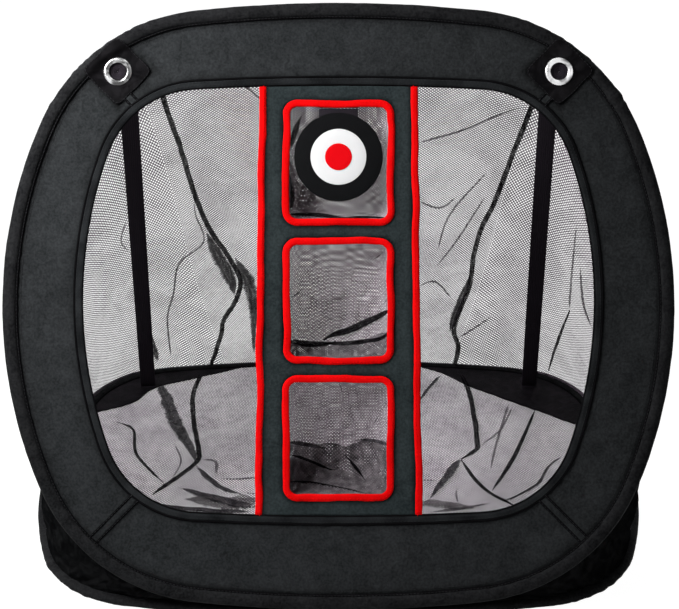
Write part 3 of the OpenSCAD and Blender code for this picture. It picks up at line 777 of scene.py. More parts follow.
def grid_piece(name: str, points: Array, finish: Material,
               wrap: tuple[bool, bool] = (False, False), facing: Facing = Facing.SOLID,
               caps: bool = False) -> Piece:
    """Makes a mesh object from a grid of points, with a UV map in metres.

    Args:
        name: Name of the piece.
        points: Grid of rows x columns x 3, in the row frame.
        finish: Material of the piece.
        wrap: Whether the rows and the columns close on themselves.
        facing: How the faces' corners run; SOLID works the normals out.
        caps: Whether the first and last rows of a tube are closed.

    Returns:
        The object, which is linked to the scene.
    """
    rows, columns = points.shape[:2]
    u, v = running(points, 0, wrap[0]), running(points, 1, wrap[1])
    faces, places = [], []
    for i in range(rows if wrap[0] else rows - 1):
        for j in range(columns if wrap[1] else columns - 1):
            ring = [(i, j), (i + 1, j), (i + 1, j + 1), (i, j + 1)]
            if facing is Facing.COLUMNS_FIRST:
                ring.reverse()
            faces.append([(a % rows) * columns + b % columns for a, b in ring])
            places += [(u[a], v[b]) for a, b in ring]
    if caps:
        for row in (0, rows - 1):
            faces.append([row * columns + j for j in range(columns)])
            places += [(u[row], v[j]) for j in range(columns)]
    mesh = bpy.data.meshes.new(name)
    mesh.from_pydata(points.reshape(-1, 3).tolist(), [], faces)
    layer = mesh.uv_layers.new(name="UVMap")
    layer.data.foreach_set("uv", np.array(places, np.float32).ravel())
    mesh.materials.append(finish)
    mesh.polygons.foreach_set("use_smooth", [True] * len(mesh.polygons))
    if facing is Facing.SOLID:
        with edited(mesh) as shape:
            bmesh.ops.recalc_face_normals(shape, faces=shape.faces)
    mesh.update()
    return add_object(name, mesh)


def write_values(piece: Piece, name: str, values: Array) -> None:
    """Writes an attribute for the shaders, one value for each point of a grid."""
    layer = piece.data.attributes.new(name, "FLOAT", "POINT")
    layer.data.foreach_set("value", values.astype(np.float32).ravel())


def joined(name: str, pieces: list[Piece]) -> Piece:
    """Joins plain mesh pieces into one, under a new name.

    Args:
        name: Name of the result.
        pieces: Pieces with no modifiers, whose places are in their meshes.

    Returns:
        The joined piece.
    """
    shape = bmesh.new()
    finishes = []
    for piece in pieces:
        for finish in piece.data.materials:
            if finish not in finishes:
                finishes.append(finish)
        before = len(shape.faces)
        shape.from_mesh(piece.data)
        shape.faces.ensure_lookup_table()
        place = finishes.index(piece.data.materials[0])
        for face in shape.faces[before:]:
            face.material_index = place
        bpy.data.objects.remove(piece)
    mesh = bpy.data.meshes.new(name)
    shape.to_mesh(mesh)
    shape.free()
    for finish in finishes:
        mesh.materials.append(finish)
    return add_object(name, mesh)


def swept(name: str, plane: Plane, path: Path, profile: Array, finish: Material) -> Piece:
    """Sweeps a closed profile along a path.

    Args:
        name: Name of the piece.
        plane: Plane of the path.
        path: The path; its normals give the profile's first direction.
        profile: Points (outwards, out of the plane): m x 2, or n x m x 2 by station.
        finish: Material of the piece.

    Returns:
        The piece, a closed tube.
    """
    profile = np.broadcast_to(profile, (len(path.points), *profile.shape[-2:]))
    flat = path.points[:, None, :] + path.normals[:, None, :] * profile[..., 0:1]
    return grid_piece(name, plane.lay(flat, profile[..., 1]), finish, (path.closed, True),
                      caps=not path.closed)


def rounded_profile(low: float, high: float, thickness: float, crown: float = 0.0,
                    count: int = 6) -> Array:
    """Flat profile with round ends, from low to high, with a crown on both faces."""
    r = thickness / 2
    points = []
    for start, end, side in ((high - r, low + r, 1), (low + r, high - r, -1)):
        for angle in np.linspace(-math.pi / 2, math.pi / 2, count + 1):
            points.append((start + side * r * math.cos(angle), side * r * math.sin(angle)))
        for share in np.arange(1, count) / count:
            points.append((start + (end - start) * share,
                           side * (r + crown * math.sin(math.pi * share))))
    return np.array(points)


def varied(profile: Array, shift: Array, wide: Array, thick: Array) -> Array:
    """A profile at each station of a path, shifted outwards and scaled both ways."""
    grown = np.repeat(profile[None], len(shift), axis=0)
    grown[..., 0] = grown[..., 0] * wide[:, None] + shift[:, None]
    grown[..., 1] *= thick[:, None]
    return grown


def ribbon(name: str, centres: Array, across: Array, width: float,
           thickness: float, finish: Material) -> Piece:
    """Flat strap along a line in space.

    Args:
        name: Name of the piece.
        centres: Points of the strap's middle, n x 3.
        across: Direction of the strap's width.
        width: Width of the strap.
        thickness: Thickness of the strap.
        finish: Material of the piece.

    Returns:
        The strap, closed at its ends.
    """
    tangent = unit(np.gradient(centres, axis=0))
    across = unit(across - (across * tangent).sum(1)[:, None] * tangent)
    up = np.cross(across, tangent)
    profile = rounded_profile(-width / 2, width / 2, thickness, 0.0002, 4)
    grid = (centres[:, None, :] + across[:, None, :] * profile[None, :, 0:1]
            + up[:, None, :] * profile[None, :, 1:2])
    return grid_piece(name, grid, finish, (False, True), caps=True)


def lathe(name: str, plane: Plane, centre: tuple[float, float], profile: list,
          finish: Material, count: int = 96) -> Piece:
    """Turns a profile of (radius, height) points about an axis square to a plane."""
    angles = 2 * math.pi * np.arange(count) / count
    radii, heights = np.array(profile).T
    around = np.column_stack([np.cos(angles), np.sin(angles)])
    flat = np.array(centre) + radii[None, :, None] * around[:, None]
    piece = grid_piece(name, plane.lay(flat, heights), finish, (True, False))
    with edited(piece.data) as shape:
        bmesh.ops.remove_doubles(shape, verts=shape.verts, dist=1e-6)
        bmesh.ops.recalc_face_normals(shape, faces=shape.faces)
    return piece


def pleat(name: str, centres: Array, outwards: Array, width: tuple, seed: float,
          finish: Material, lift: float = 0.0012,
          taper: float = 0.7) -> Piece:
    """Gathered strip of net along a line, with uneven edges and two small ridges.

    Args:
        name: Name of the strip.
        centres: Points of its middle, n x 3.
        outwards: Direction that its ridges rise in, one for all or one for each point.
        width: Widths from its start to its end.
        seed: Place in the noise.
        finish: Material of the strip.
        lift: Height of the strip over the net that it lies on.
        taper: Share of the width that its ends lose.

    Returns:
        The strip, an open sheet.
    """
    run = run_along(centres)
    up = np.broadcast_to(outwards, centres.shape)
    side = unit(np.cross(up, np.gradient(centres, axis=0)))
    ends = smooth(0, 0.02, run) * smooth(0, 0.02, run[-1] - run)
    widths = np.interp(run / run[-1], np.linspace(0, 1, len(width)), width)
    widths = widths * (1 - taper + taper * ends)
    shift = 0.1 * rough(run, 0, 0.03, seed + 4, 2)
    rise = np.minimum(0.35 * widths, 0.0035) * (0.8 + 0.4 * rough(run, 0, 0.02, seed + 8, 1))
    grid = []
    for k, share in enumerate(np.linspace(-0.5, 0.5, 9)):
        ridge = abs(math.sin(2 * math.pi * (share + 0.5)))
        out = (share + 0.07 * rough(run, k, 0.02, seed, 2) + shift) * widths
        grid.append(centres + side * out[:, None] + up * (lift + ridge * rise)[:, None])
    piece = grid_piece(name, np.array(grid).transpose(1, 0, 2), finish,
                       facing=Facing.COLUMNS_FIRST)
    across = np.linspace(-1, 1, 9)[None, :] ** 2
    write_values(piece, EDGE_FADE, np.maximum(across, (1 - ends[:, None]) * taper))
    return piece


def grid_area(points: Array) -> float:
    """Area of a grid of points, in square metres."""
    rise = points[1:, 1:] - points[:-1, :-1]
    fall = points[:-1, 1:] - points[1:, :-1]
    return float(np.linalg.norm(np.cross(rise, fall), axis=2).sum() / 2)


def declare_sheet(pattern: Array) -> None:
    """Works out the area of a sheet's flat pattern, which is not used further.

    Args:
        pattern: Grid of points of the sheet without its wrinkles.
    """
    area = grid_area(pattern)


def follow_fold(piece: Piece) -> None:
    """Bakes a piece's place into its mesh; the points at the ground hoop's rear and the face's top
    are worked out but not used.
    """
    rear = GROUND.lay([0.0, SIZES.base.half_h], SIZES.hem_r)
    top = FACE.lay([0.0, SIZES.face.half_h], -SIZES.hem_r)
    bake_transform(piece)


# ------------------------------------------------------------------ stitches


class StitchRows(Nodes):
    """Rows of stitches along lines, made by Geometry Nodes."""

    def __init__(self) -> None:
        """Builds the node tree once."""
        super().__init__(bpy.data.node_groups.new("stitch_rows", "GeometryNodeTree"))
        kinds = (("Geometry", "Geometry"), ("Spacing", "Float"), ("Length", "Float"),
                 ("Width", "Float"), ("Thread", "Material"))
        self.inputs = {name: self._socket(name, "INPUT", kind) for name, kind in kinds}
        self._socket("Geometry", "OUTPUT", "Geometry")
        self._wire()

    def _socket(self, name: str, way: str, kind: str) -> str:
        """Adds a socket to the tree and gives its identifier."""
        return self.tree.interface.new_socket(
            name, in_out=way, socket_type=f"NodeSocket{kind}").identifier

    def _wire(self) -> None:
        """Lines become curves, and each of their points carries one stitch."""
        given = self.node("NodeGroupInput")
        curve = self.node("GeometryNodeMeshToCurve", {"Mesh": given["Geometry"]})
        marks = self.node("GeometryNodeCurveToPoints",
                          {"Curve": curve[0], "Length": given["Spacing"]}, mode="LENGTH")
        ball = self.node("GeometryNodeMeshIcoSphere", {"Radius": 0.5, "Subdivisions": 1})
        size = self.node("ShaderNodeCombineXYZ", {
            "X": given["Width"], "Y": given["Width"], "Z": given["Length"]})
        laid = self.node("GeometryNodeInstanceOnPoints", {
            "Points": marks["Points"], "Instance": ball["Mesh"],
            "Rotation": marks["Rotation"], "Scale": size["Vector"]})
        real = self.node("GeometryNodeRealizeInstances", {"Geometry": laid[0]})
        rounded = self.node("GeometryNodeSetShadeSmooth", {"Geometry": real[0]})
        painted = self.node("GeometryNodeSetMaterial", {
            "Geometry": rounded[0], "Material": given["Thread"]})
        self.node("NodeGroupOutput", {"Geometry": painted[0]})

    def sew(self, name: str, lines: list[Array], thread: Material,
            sizes: tuple[float, float, float]) -> Piece:
        """Sews rows of stitches.

        Args:
            name: Name of the piece.
            lines: Lines in the row frame, each n x 3.
            thread: Material of the thread.
            sizes: Distance from stitch to stitch, a stitch's length and its width.

        Returns:
            One plain mesh piece with all the stitches.
        """
        points, edges = [], []
        for line in lines:
            edges += [(len(points) + k, len(points) + k + 1) for k in range(len(line) - 1)]
            points += line.tolist()
        mesh = bpy.data.meshes.new(name + "_lines")
        mesh.from_pydata(points, edges, [])
        carrier = add_object(name + "_lines", mesh)
        rows = carrier.modifiers.new("stitches", "NODES")
        rows.node_group = self.tree
        for key, value in zip(("Spacing", "Length", "Width", "Thread"), (*sizes, thread)):
            rows[self.inputs[key]] = value
        graph = bpy.context.evaluated_depsgraph_get()
        made = bpy.data.meshes.new_from_object(carrier.evaluated_get(graph))
        made.name = name
        bpy.data.objects.remove(carrier)
        return add_object(name, made)


# ------------------------------------------------------------------ shared by the classes


@dataclass
class Workshop:
    """What every sub-assembly is made with."""

    finish: dict[str, Material]
    stitches: StitchRows

    def settle(self, piece: Piece, body: str, slot: str, *nodes: str) -> Piece:
        """Makes a piece ride on a body, or bakes its place for a piece along the fold, and hides
        the parts that it stands for.
        """
        if body == ALONG_FOLD:
            follow_fold(piece)
        else:
            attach(piece, body)
        if nodes:
            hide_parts(*nodes)
        LOG.info("%s: %d faces", piece.name, len(piece.data.polygons))
        return piece

    def sheet(self, node: str, points: Array, finish: str, body: str, facing: Facing,
              slot: str = "netting", thickness: float = 0.0,
              wrap: tuple[bool, bool] = (False, False)) -> Piece:
        """Makes the net, or the cloth where it has a thickness, that a node stands for."""
        name = node + ("_cloth" if thickness else "_mesh")
        piece = grid_piece(name, points, self.finish[finish], wrap, facing)
        if thickness:
            solid = piece.modifiers.new("thickness", "SOLIDIFY")
            solid.thickness, solid.offset = thickness, 0.0
        return self.settle(piece, body, slot, node)

    def sew(self, name: str, lines: list[Array], body: str = FRONT,
            slot: str = "satin_cloth", thread: str = "thread",
            sizes: tuple[float, float, float] = (0.0036, 0.0027, 0.0007)) -> None:
        """Sews rows of stitches that ride on a body."""
        self.settle(self.stitches.sew(name, lines, self.finish[thread], sizes), body, slot)

    def groove(self, name: str, plane: Plane, path: Path, out: float, height: float,
               width: float, body: str) -> None:
        """Lays a near-black strip along a seam: painted shadow of the seam's groove.

        Args:
            name: Name of the piece.
            plane: Plane of the seam.
            path: Line that the seam follows.
            out: Distance of the seam from the line, outwards.
            height: Height of the strip's middle over the plane.
            width: Width of the strip.
            body: Body that it rides on.
        """
        profile = rounded_profile(out - width / 2, out + width / 2, 0.0012, 0.0004, 4)
        self.settle(swept(name, plane, path, profile + np.array([0.0, height]),
                          self.finish["groove"]), body, "satin_cloth")


# ------------------------------------------------------------------ hems


@dataclass
class HoopHem:
    """Cloth sleeve round a spring hoop, puckered where it bends, with its sewn edge."""

    shop: Workshop
    name: str
    hoop: Hoop
    plane: Plane
    body: str
    seed: float
    step: float = 0.0021
    pucker_pitch: float = 0.016
    pucker: float = 0.0008
    puckered: tuple[float, float] = (-1.0, 1.0)
    slim_rear: float = 1.0
    seam_w: float = 0.0026

    def build(self) -> None:
        """Builds the sleeve, which is drawn tight along the rear, and the painted shadow strip
        along its seam.
        """
        path = self.hoop.path(self.step)
        profile = rounded_profile(-SIZES.hem_w, 0, SIZES.hem_t, 0.0003, 7)
        crest = np.abs(rough(path.run, 0, self.pucker_pitch, self.seed, 2)) * 2.2 - 0.5
        lumps = 0.0003 * rough(path.run, 0, 0.03, self.seed + 3)
        swell = crest * self.pucker * (0.12 + self._bend(path)) + lumps
        middle = np.array([-SIZES.hem_w / 2, 0.0])
        slim = 1 - (1 - self.slim_rear) * smooth(0.8, 0.985, path.normals[:, 1])
        grown = profile + unit(profile - middle) * swell[:, None, None]
        grown = middle + (grown - middle) * slim[:, None, None]
        if self.plane is GROUND:
            grown[..., 1] = np.maximum(grown[..., 1], -SIZES.hem_r)
        piece = swept(self.name + "_sleeve", self.plane, path, grown, self.shop.finish["hem"])
        self.shop.settle(piece, self.body, "charcoal_cloth", self.name)
        # The near-black strip along the hem's seam is painted shadow.
        self.shop.groove(self.name + "_seam", self.plane, self.hoop.path(0.004),
                         -SIZES.hem_w - 0.0004, SIZES.hem_r * 0.3, self.seam_w, self.body)

    def _bend(self, path: Path) -> Array:
        """How sharply the hoop bends at each station, 1 in its puckered corners."""
        first, last = self.hoop.bends()
        low, high = self.puckered
        angle = np.arctan2(*np.abs(path.normals[:, ::-1]).T)
        here = smooth(low - 0.1, low + 0.1, path.normals[:, 1]) * (
            1 - smooth(high - 0.1, high + 0.1, path.normals[:, 1]))
        return here * smooth(first - 0.15, first + 0.2, angle) * (
            1 - smooth(last - 0.2, last + 0.15, angle))


# ------------------------------------------------------------------ the face


@dataclass
class FaceCloth:
    """Charcoal border of the face: four panels, mitre seams, binding and eyelet patches."""

    shop: Workshop
    step: float = 0.0042
    panel_rows: int = 22
    seam_step: float = 0.001
    sag: float = 0.0016
    ripple: float = 0.0007
    patch_side: float = 0.048
    eye: tuple[float, float] = (0.21343, 0.227115)
    eye_hole: float = 0.0088
    flat_r: float = 0.016
    mitre_w: float = 0.008
    fine_stitch: tuple[float, float, float] = (0.0034, 0.0026, 0.0007)

    def _gaps(self, x: Array, y: Array) -> tuple[Array, Array]:
        """Distances from the hem and from the opening's tape."""
        return (SIZES.face.depth(x, y) - SIZES.hem_w,
                -SIZES.opening.depth(x, y - SIZES.open_y) - SIZES.lip_w)

    def relief(self, x: Array, y: Array) -> Array:
        """Height of the cloth over its plane: broad dimples and puckers at the seams."""
        calm = smooth(0.024, 0.05, np.hypot(np.abs(x) - self.eye[0], y - self.eye[1]))
        from_hem, from_lip = self._gaps(x, y)
        round_face = np.arctan2(y, x)
        wander = rough(x, y, 0.06, 7.0, 2)
        hem_waves = np.sin(round_face * 150 + 6 * wander) * np.exp(-np.abs(from_hem) / 0.014)
        lip_waves = np.sin(round_face * 84 + 7 * wander) * np.exp(-np.abs(from_lip) / 0.011)
        held = smooth(0, 0.012, from_hem) * smooth(0, 0.012, from_lip)
        return calm * (self.sag * rough(x, y, 0.085, 1.0, 2) * held
                       + self.ripple * (hem_waves + 0.7 * lip_waves) * np.abs(wander) * 2)

    def shade(self, x: Array, y: Array) -> Array:
        """Painted shade and wear of the cloth: along the hem, along the binding and round the
        patches.
        """
        from_hem, from_lip = self._gaps(x, y)
        across, up = np.abs(x) - self.eye[0], y - self.eye[1]
        patch = np.maximum(np.abs(across + up), np.abs(across - up))
        from_patch = (patch - self.patch_side / math.sqrt(2)) / math.sqrt(2)
        shade = [0.75 * np.exp(-np.maximum(gap, 0) / reach) for gap, reach in (
            (from_hem, 0.0035), (from_lip, 0.0025), (from_patch, 0.003))]
        return np.clip(np.maximum.reduce(shade), 0, 0.8)

    def _mitre(self, side: int, up: int) -> tuple[Array, Array]:
        """Foot of a mitre on the opening and its direction, in the face's plane."""
        way = np.array([math.cos(SIZES.mitre_turn), math.sin(SIZES.mitre_turn)])
        foot = SIZES.opening.corner() + SIZES.opening.corner_r * way
        return (foot * np.array([side, up]) + np.array([0, SIZES.open_y]),
                np.array([side, up]) / math.sqrt(2))

    def _panel_ends(self) -> dict[str, tuple]:
        """Each panel's first and last turns on the opening and on the face."""
        first, last = SIZES.opening.bends()
        inner = 1 + (SIZES.mitre_turn - first) / (last - first)
        high = SIZES.face.turn_on_ray(*self._mitre(RIGHT, 1), SIZES.hem_w, 0.2, 2.9)
        low = SIZES.face.turn_on_ray(*self._mitre(RIGHT, -1), SIZES.hem_w, 11.8, 9.1) - 12
        return {"right": ((-inner, inner), (low, high)),
                "top": ((inner, 6 - inner), (high, 6 - high)),
                "left": ((6 - inner, 6 + inner), (6 - high, 6 - low)),
                "bottom": ((6 + inner, 12 - inner), (6 - low, 12 + low))}

    def panels(self) -> None:
        """Builds the four panels of the border."""
        for side, (inner, outer) in self._panel_ends().items():
            lip = SIZES.opening.path(self.step, -0.0035, *inner).points + [0, SIZES.open_y]
            rim = SIZES.face.path(self.step, SIZES.hem_w - 0.0005, *outer).points
            count = max(len(lip), len(rim))
            flat = spanned(resampled(lip, count), resampled(rim, count), self.panel_rows)
            x, y = flat[..., 0], flat[..., 1]
            piece = self.shop.sheet(
                f"border_{side}", FACE.lay(flat, self.relief(x, y)), "border", FRONT,
                Facing.COLUMNS_FIRST, "charcoal_cloth", SIZES.cloth_t * 0.9)
            # Painted shade and wear along the hem, the binding and the patches.
            write_values(piece, SEAM_SHADE, self.shade(x, y))
            self._pierce(piece)
            declare_sheet(FACE.lay(flat))

    def _pierce(self, piece: Piece) -> None:
        """Opens the eyelet's hole: faces within it go, and its rim becomes round."""
        axes = [Vector(FACE.lay([side * self.eye[0], self.eye[1]])) for side in SIDE_NAMES]
        out = Vector(FACE.out)

        def off(point: Vector, axis: Vector) -> Vector:
            """Vector from the eyelet's axis to a point."""
            gap = point - axis
            return gap - gap.dot(out) * out

        with edited(piece.data) as shape:
            gone = [face for face in shape.faces
                    if any(off(face.calc_center_median(), axis).length < self.eye_hole
                           for axis in axes)]
            bmesh.ops.delete(shape, geom=gone, context="FACES")
            for vert in shape.verts:
                for axis in axes:
                    gap = off(vert.co, axis)
                    if vert.is_boundary and gap.length < 2 * self.eye_hole:
                        vert.co += gap.normalized() * (self.eye_hole - gap.length)

    def seams(self) -> None:
        """Builds the four double-stitched mitre seams as one piece, with a strip of painted shadow
        along each edge.
        """
        strips, lines = [], []
        share = np.linspace(-0.5, 0.5, 7)
        crown = 0.0009 * (1 - (2 * share) ** 4) - 0.0002 + SIZES.cloth_t / 2
        for side in (LEFT, RIGHT):
            for up in (-1, 1):
                foot, toward = self._mitre(side, up)
                along = np.linspace(SIZES.lip_w + 0.001, self._seam_reach(foot, toward, up), 40)
                across = np.array([-toward[1], toward[0]])
                flat = (foot + along[:, None, None] * toward
                        + share[None, :, None] * self.mitre_w * across)
                relief = self.relief(flat[..., 0], flat[..., 1])
                strips.append(grid_piece("mitre_strip", FACE.lay(flat, relief + crown),
                                         self.shop.finish["border"],
                                         facing=NET_FACING[side * up]))
                for edge in (0, -1):
                    line = FACE.lay(flat[:, edge], relief[:, edge] + 0.0010)
                    lines.append(line + 0.0007 * FACE.out)
                    side_way = across[0] * ACROSS + across[1] * FACE.along
                    # Near-black strip along the mitre seam's edge: painted shadow.
                    strips.append(ribbon("mitre_cord", line, side_way, 0.0024, 0.0012,
                                         self.shop.finish["groove"]))
        piece = joined("mitre_seam_strips", strips)
        self.shop.settle(piece, FRONT, "satin_cloth", "mitre_seams")
        self.shop.sew("mitre_stitches", lines, sizes=(0.0036, 0.0027, 0.0008))

    def _seam_reach(self, foot: Array, toward: Array, up: int) -> float:
        """Length of a mitre seam from the opening to the hem or to the eyelet's patch."""
        reach = 0.0
        while SIZES.face.depth(*(foot + toward * reach)) > SIZES.hem_w + 0.0005:
            spot = foot + toward * (reach + self.seam_step)
            gap = np.abs(np.abs(spot[0]) - self.eye[0]) + np.abs(spot[1] - self.eye[1])
            if up > 0 and gap < self.patch_side / math.sqrt(2) - self.seam_step:
                break
            reach += self.seam_step
        return reach

    def binding(self) -> None:
        """Builds the folded tape round the opening, the strips of painted shadow along its edges
        and two rows of stitches.
        """
        path = SIZES.opening.path(0.003)
        path = Path(path.points + [0, SIZES.open_y], path.normals, True)
        wobble = 0.0005 * rough(path.run, 0, 0.05, 11.0)
        grown = varied(rounded_profile(0, SIZES.lip_w, SIZES.trim_t, 0.0002, 6), wobble,
                       np.ones(len(wobble)), 1 + 0.14 * rough(path.run, 0, 0.018, 12.0))
        piece = swept("opening_tape", FACE, path, grown, self.shop.finish["lip"])
        self.shop.settle(piece, FRONT, "satin_cloth", "opening_binding")
        lines = []
        for label, out, sewn, height, width in (
                ("inner", 0.0004, 0.0026, 0.0006, 0.0024),
                ("outer", SIZES.lip_w + 0.0004, SIZES.lip_w - 0.0016, 0.0008, 0.0026)):
            self.shop.groove(f"opening_{label}_seam_shadow", FACE, path, out, height, width, FRONT)
            lines.append(FACE.lay(looped(path.shifted(sewn + wobble)), SIZES.trim_t / 2 + 0.0002))
        self.shop.sew("opening_stitches", lines, sizes=self.fine_stitch)

    def hem_stitches(self) -> None:
        """Sews the border to the hem with a raised row along the seam."""
        lines = []
        for inset, height in ((SIZES.hem_w + 0.0004, 0.0028), (SIZES.hem_w + 0.0042, 0.0007)):
            flat = looped(SIZES.face.path(0.004, inset).points)
            lines.append(FACE.lay(flat, self.relief(flat[:, 0], flat[:, 1]) + height))
        self.shop.sew("hem_stitches", lines, slot="charcoal_cloth", sizes=self.fine_stitch)

    def patch(self, side: int, front: bool) -> None:
        """Builds an eyelet's square patch, or the strap's anchor behind it.

        Args:
            side: LEFT or RIGHT.
            front: True for the patch, and False for the anchor.
        """
        first = self.eye_hole if front else 0.0002
        ring = np.concatenate([np.linspace(first, self.flat_r, 4)[:-1],
                               np.linspace(self.flat_r, 1.0, 14)])[None, :]
        angles = np.linspace(0, 2 * math.pi, 97)[:-1]
        rounded = (np.abs(np.cos(angles)) ** 9 + np.abs(np.sin(angles)) ** 9) ** (-1 / 9)
        rim = self.patch_side / 2 * rounded * (1 + 0.012 * np.sin(7 * angles + side))
        share = (ring - self.flat_r) / (1 - self.flat_r)
        radii = np.where(ring < self.flat_r, ring,
                         self.flat_r + (rim[:, None] - self.flat_r) * share)
        turn = (angles + math.pi / 4)[:, None]
        away = np.dstack([radii * np.cos(turn), radii * np.sin(turn)])
        flat = away + np.array([side * self.eye[0], self.eye[1]])
        depth = SIZES.face.depth(flat[..., 0], flat[..., 1])
        over = 1 - smooth(SIZES.hem_w - 0.004, SIZES.hem_w + 0.0045, depth)
        crumple = smooth(0.015, 0.022, np.linalg.norm(away, axis=2)) * 0.0007 * rough(
            flat[..., 0], flat[..., 1], 0.014, 20.0 + side, 2)
        height = (SIZES.cloth_t / 2 + 0.0005 + over * (SIZES.hem_r - 0.0004) + np.abs(crumple))
        label = SIDE_NAMES[side]
        if front:
            piece = self.shop.sheet(f"eyelet_patch_{label}", FACE.lay(flat, height), "patch",
                                    FRONT, Facing.ROWS_FIRST, "satin_cloth", 0.001,
                                    (True, False))
            line = FACE.lay(flat[:, -2], height[:, -2] + 0.0006)
            self.shop.sew(f"patch_stitches_{label}", [looped(line)])
        else:
            piece = self.shop.sheet(f"strap_anchor_{label}",
                                    FACE.lay(flat, -height - 0.0001), "webbing", FRONT,
                                    Facing.COLUMNS_FIRST, "webbing", 0.001, (True, False))

    def build(self) -> None:
        """Builds the whole border."""
        self.panels()
        self.seams()
        self.binding()
        self.hem_stitches()
        for side in (LEFT, RIGHT):
            self.patch(side, True)
            self.patch(side, False)


# ------------------------------------------------------------------ target band


POUCH_FOLDS: dict[str, tuple] = {
    "top": (
        ("gathered", (0.004, 0.009, 0.005), ((-0.7, 0.86), (-0.84, 0.55), (-0.94, 0.2))),
        ("seam", (0.003, 0.006, 0.004, 0.002),
         ((-0.96, -0.85), (-0.43, -0.86), (0.09, -0.93), (0.4, -0.9), (0.96, -0.915))),
        ("gathered", (0.005, 0.010), ((-0.96, -0.1), (-0.9, -0.5), (-0.93, -0.84)))),
    "middle": (
        ("seam", (0.004, 0.007, 0.006),
         ((-0.98, -0.68), (-0.6, -0.745), (-0.23, -0.74), (-0.05, -0.7))),
        ("seam", (0.005, 0.007, 0.006, 0.004),
         ((-0.3, -0.68), (-0.1, -0.58), (0.22, -0.5), (0.61, -0.34), (0.99, -0.156))),
        ("seam", (0.004, 0.005, 0.004, 0.005),
         ((-0.3, -0.73), (0.1, -0.735), (0.5, -0.70), (0.83, -0.64), (0.99, -0.52))),
        ("gathered", (0.001, 0.003), ((0.83, -0.11), (0.99, 0.11))),
        ("gathered", (0.001, 0.002, 0.001), ((-0.96, 0.015), (-0.8, 0.12), (-0.6, 0.28))),
        ("gathered", (0.001, 0.002, 0.001), ((0.6, 0.66), (0.78, 0.76), (0.94, 0.89)))),
    "bottom": (
        ("seam", (0.003, 0.003, 0.002), ((-0.9, -0.31), (-0.5, -0.47), (-0.14, -0.6),
                                          (0.01, -0.56))),
        ("seam", (0.002, 0.0035, 0.002), ((0.12, -0.345), (0.33, -0.56), (0.52, -0.765))),
        ("seam", (0.003, 0.003, 0.002), ((-0.98, -0.75), (-0.3, -0.83), (0.54, -0.95))),
        ("gathered", (0.006, 0.004), ((-0.97, -0.07), (-0.6, -0.16), (-0.2, -0.24))),
        ("gathered", (0.003, 0.005), ((0.3, -0.1), (0.6, -0.08), (0.97, -0.12))),
        ("gathered", (0.002, 0.002), ((0.0, 0.95), (0.1, 0.7))),
        ("gathered", (0.002, 0.003), ((0.8, 0.4), (0.65, 0.15))))}


POUCH_LAYERS: dict[str, tuple] = {
    "top": (((-1, 0.2), (-0.9, 0.0), (-0.78, -0.26), (-0.5, -0.45), (-0.27, -0.74),
             (0, -0.9), (1, -0.92)),),
    "middle": (((-1, -0.72), (0, -0.76), (0.5, -0.68), (1, -0.5)),),
    "bottom": (((-1, -0.07), (-0.6, -0.12), (-0.1, -0.16), (0.2, -0.2), (0.4, -0.1),
                (1, -0.06)),
               ((-1, -0.35), (-0.4, -0.5), (0.1, -0.6), (0.5, -0.75), (1, -0.6)))}


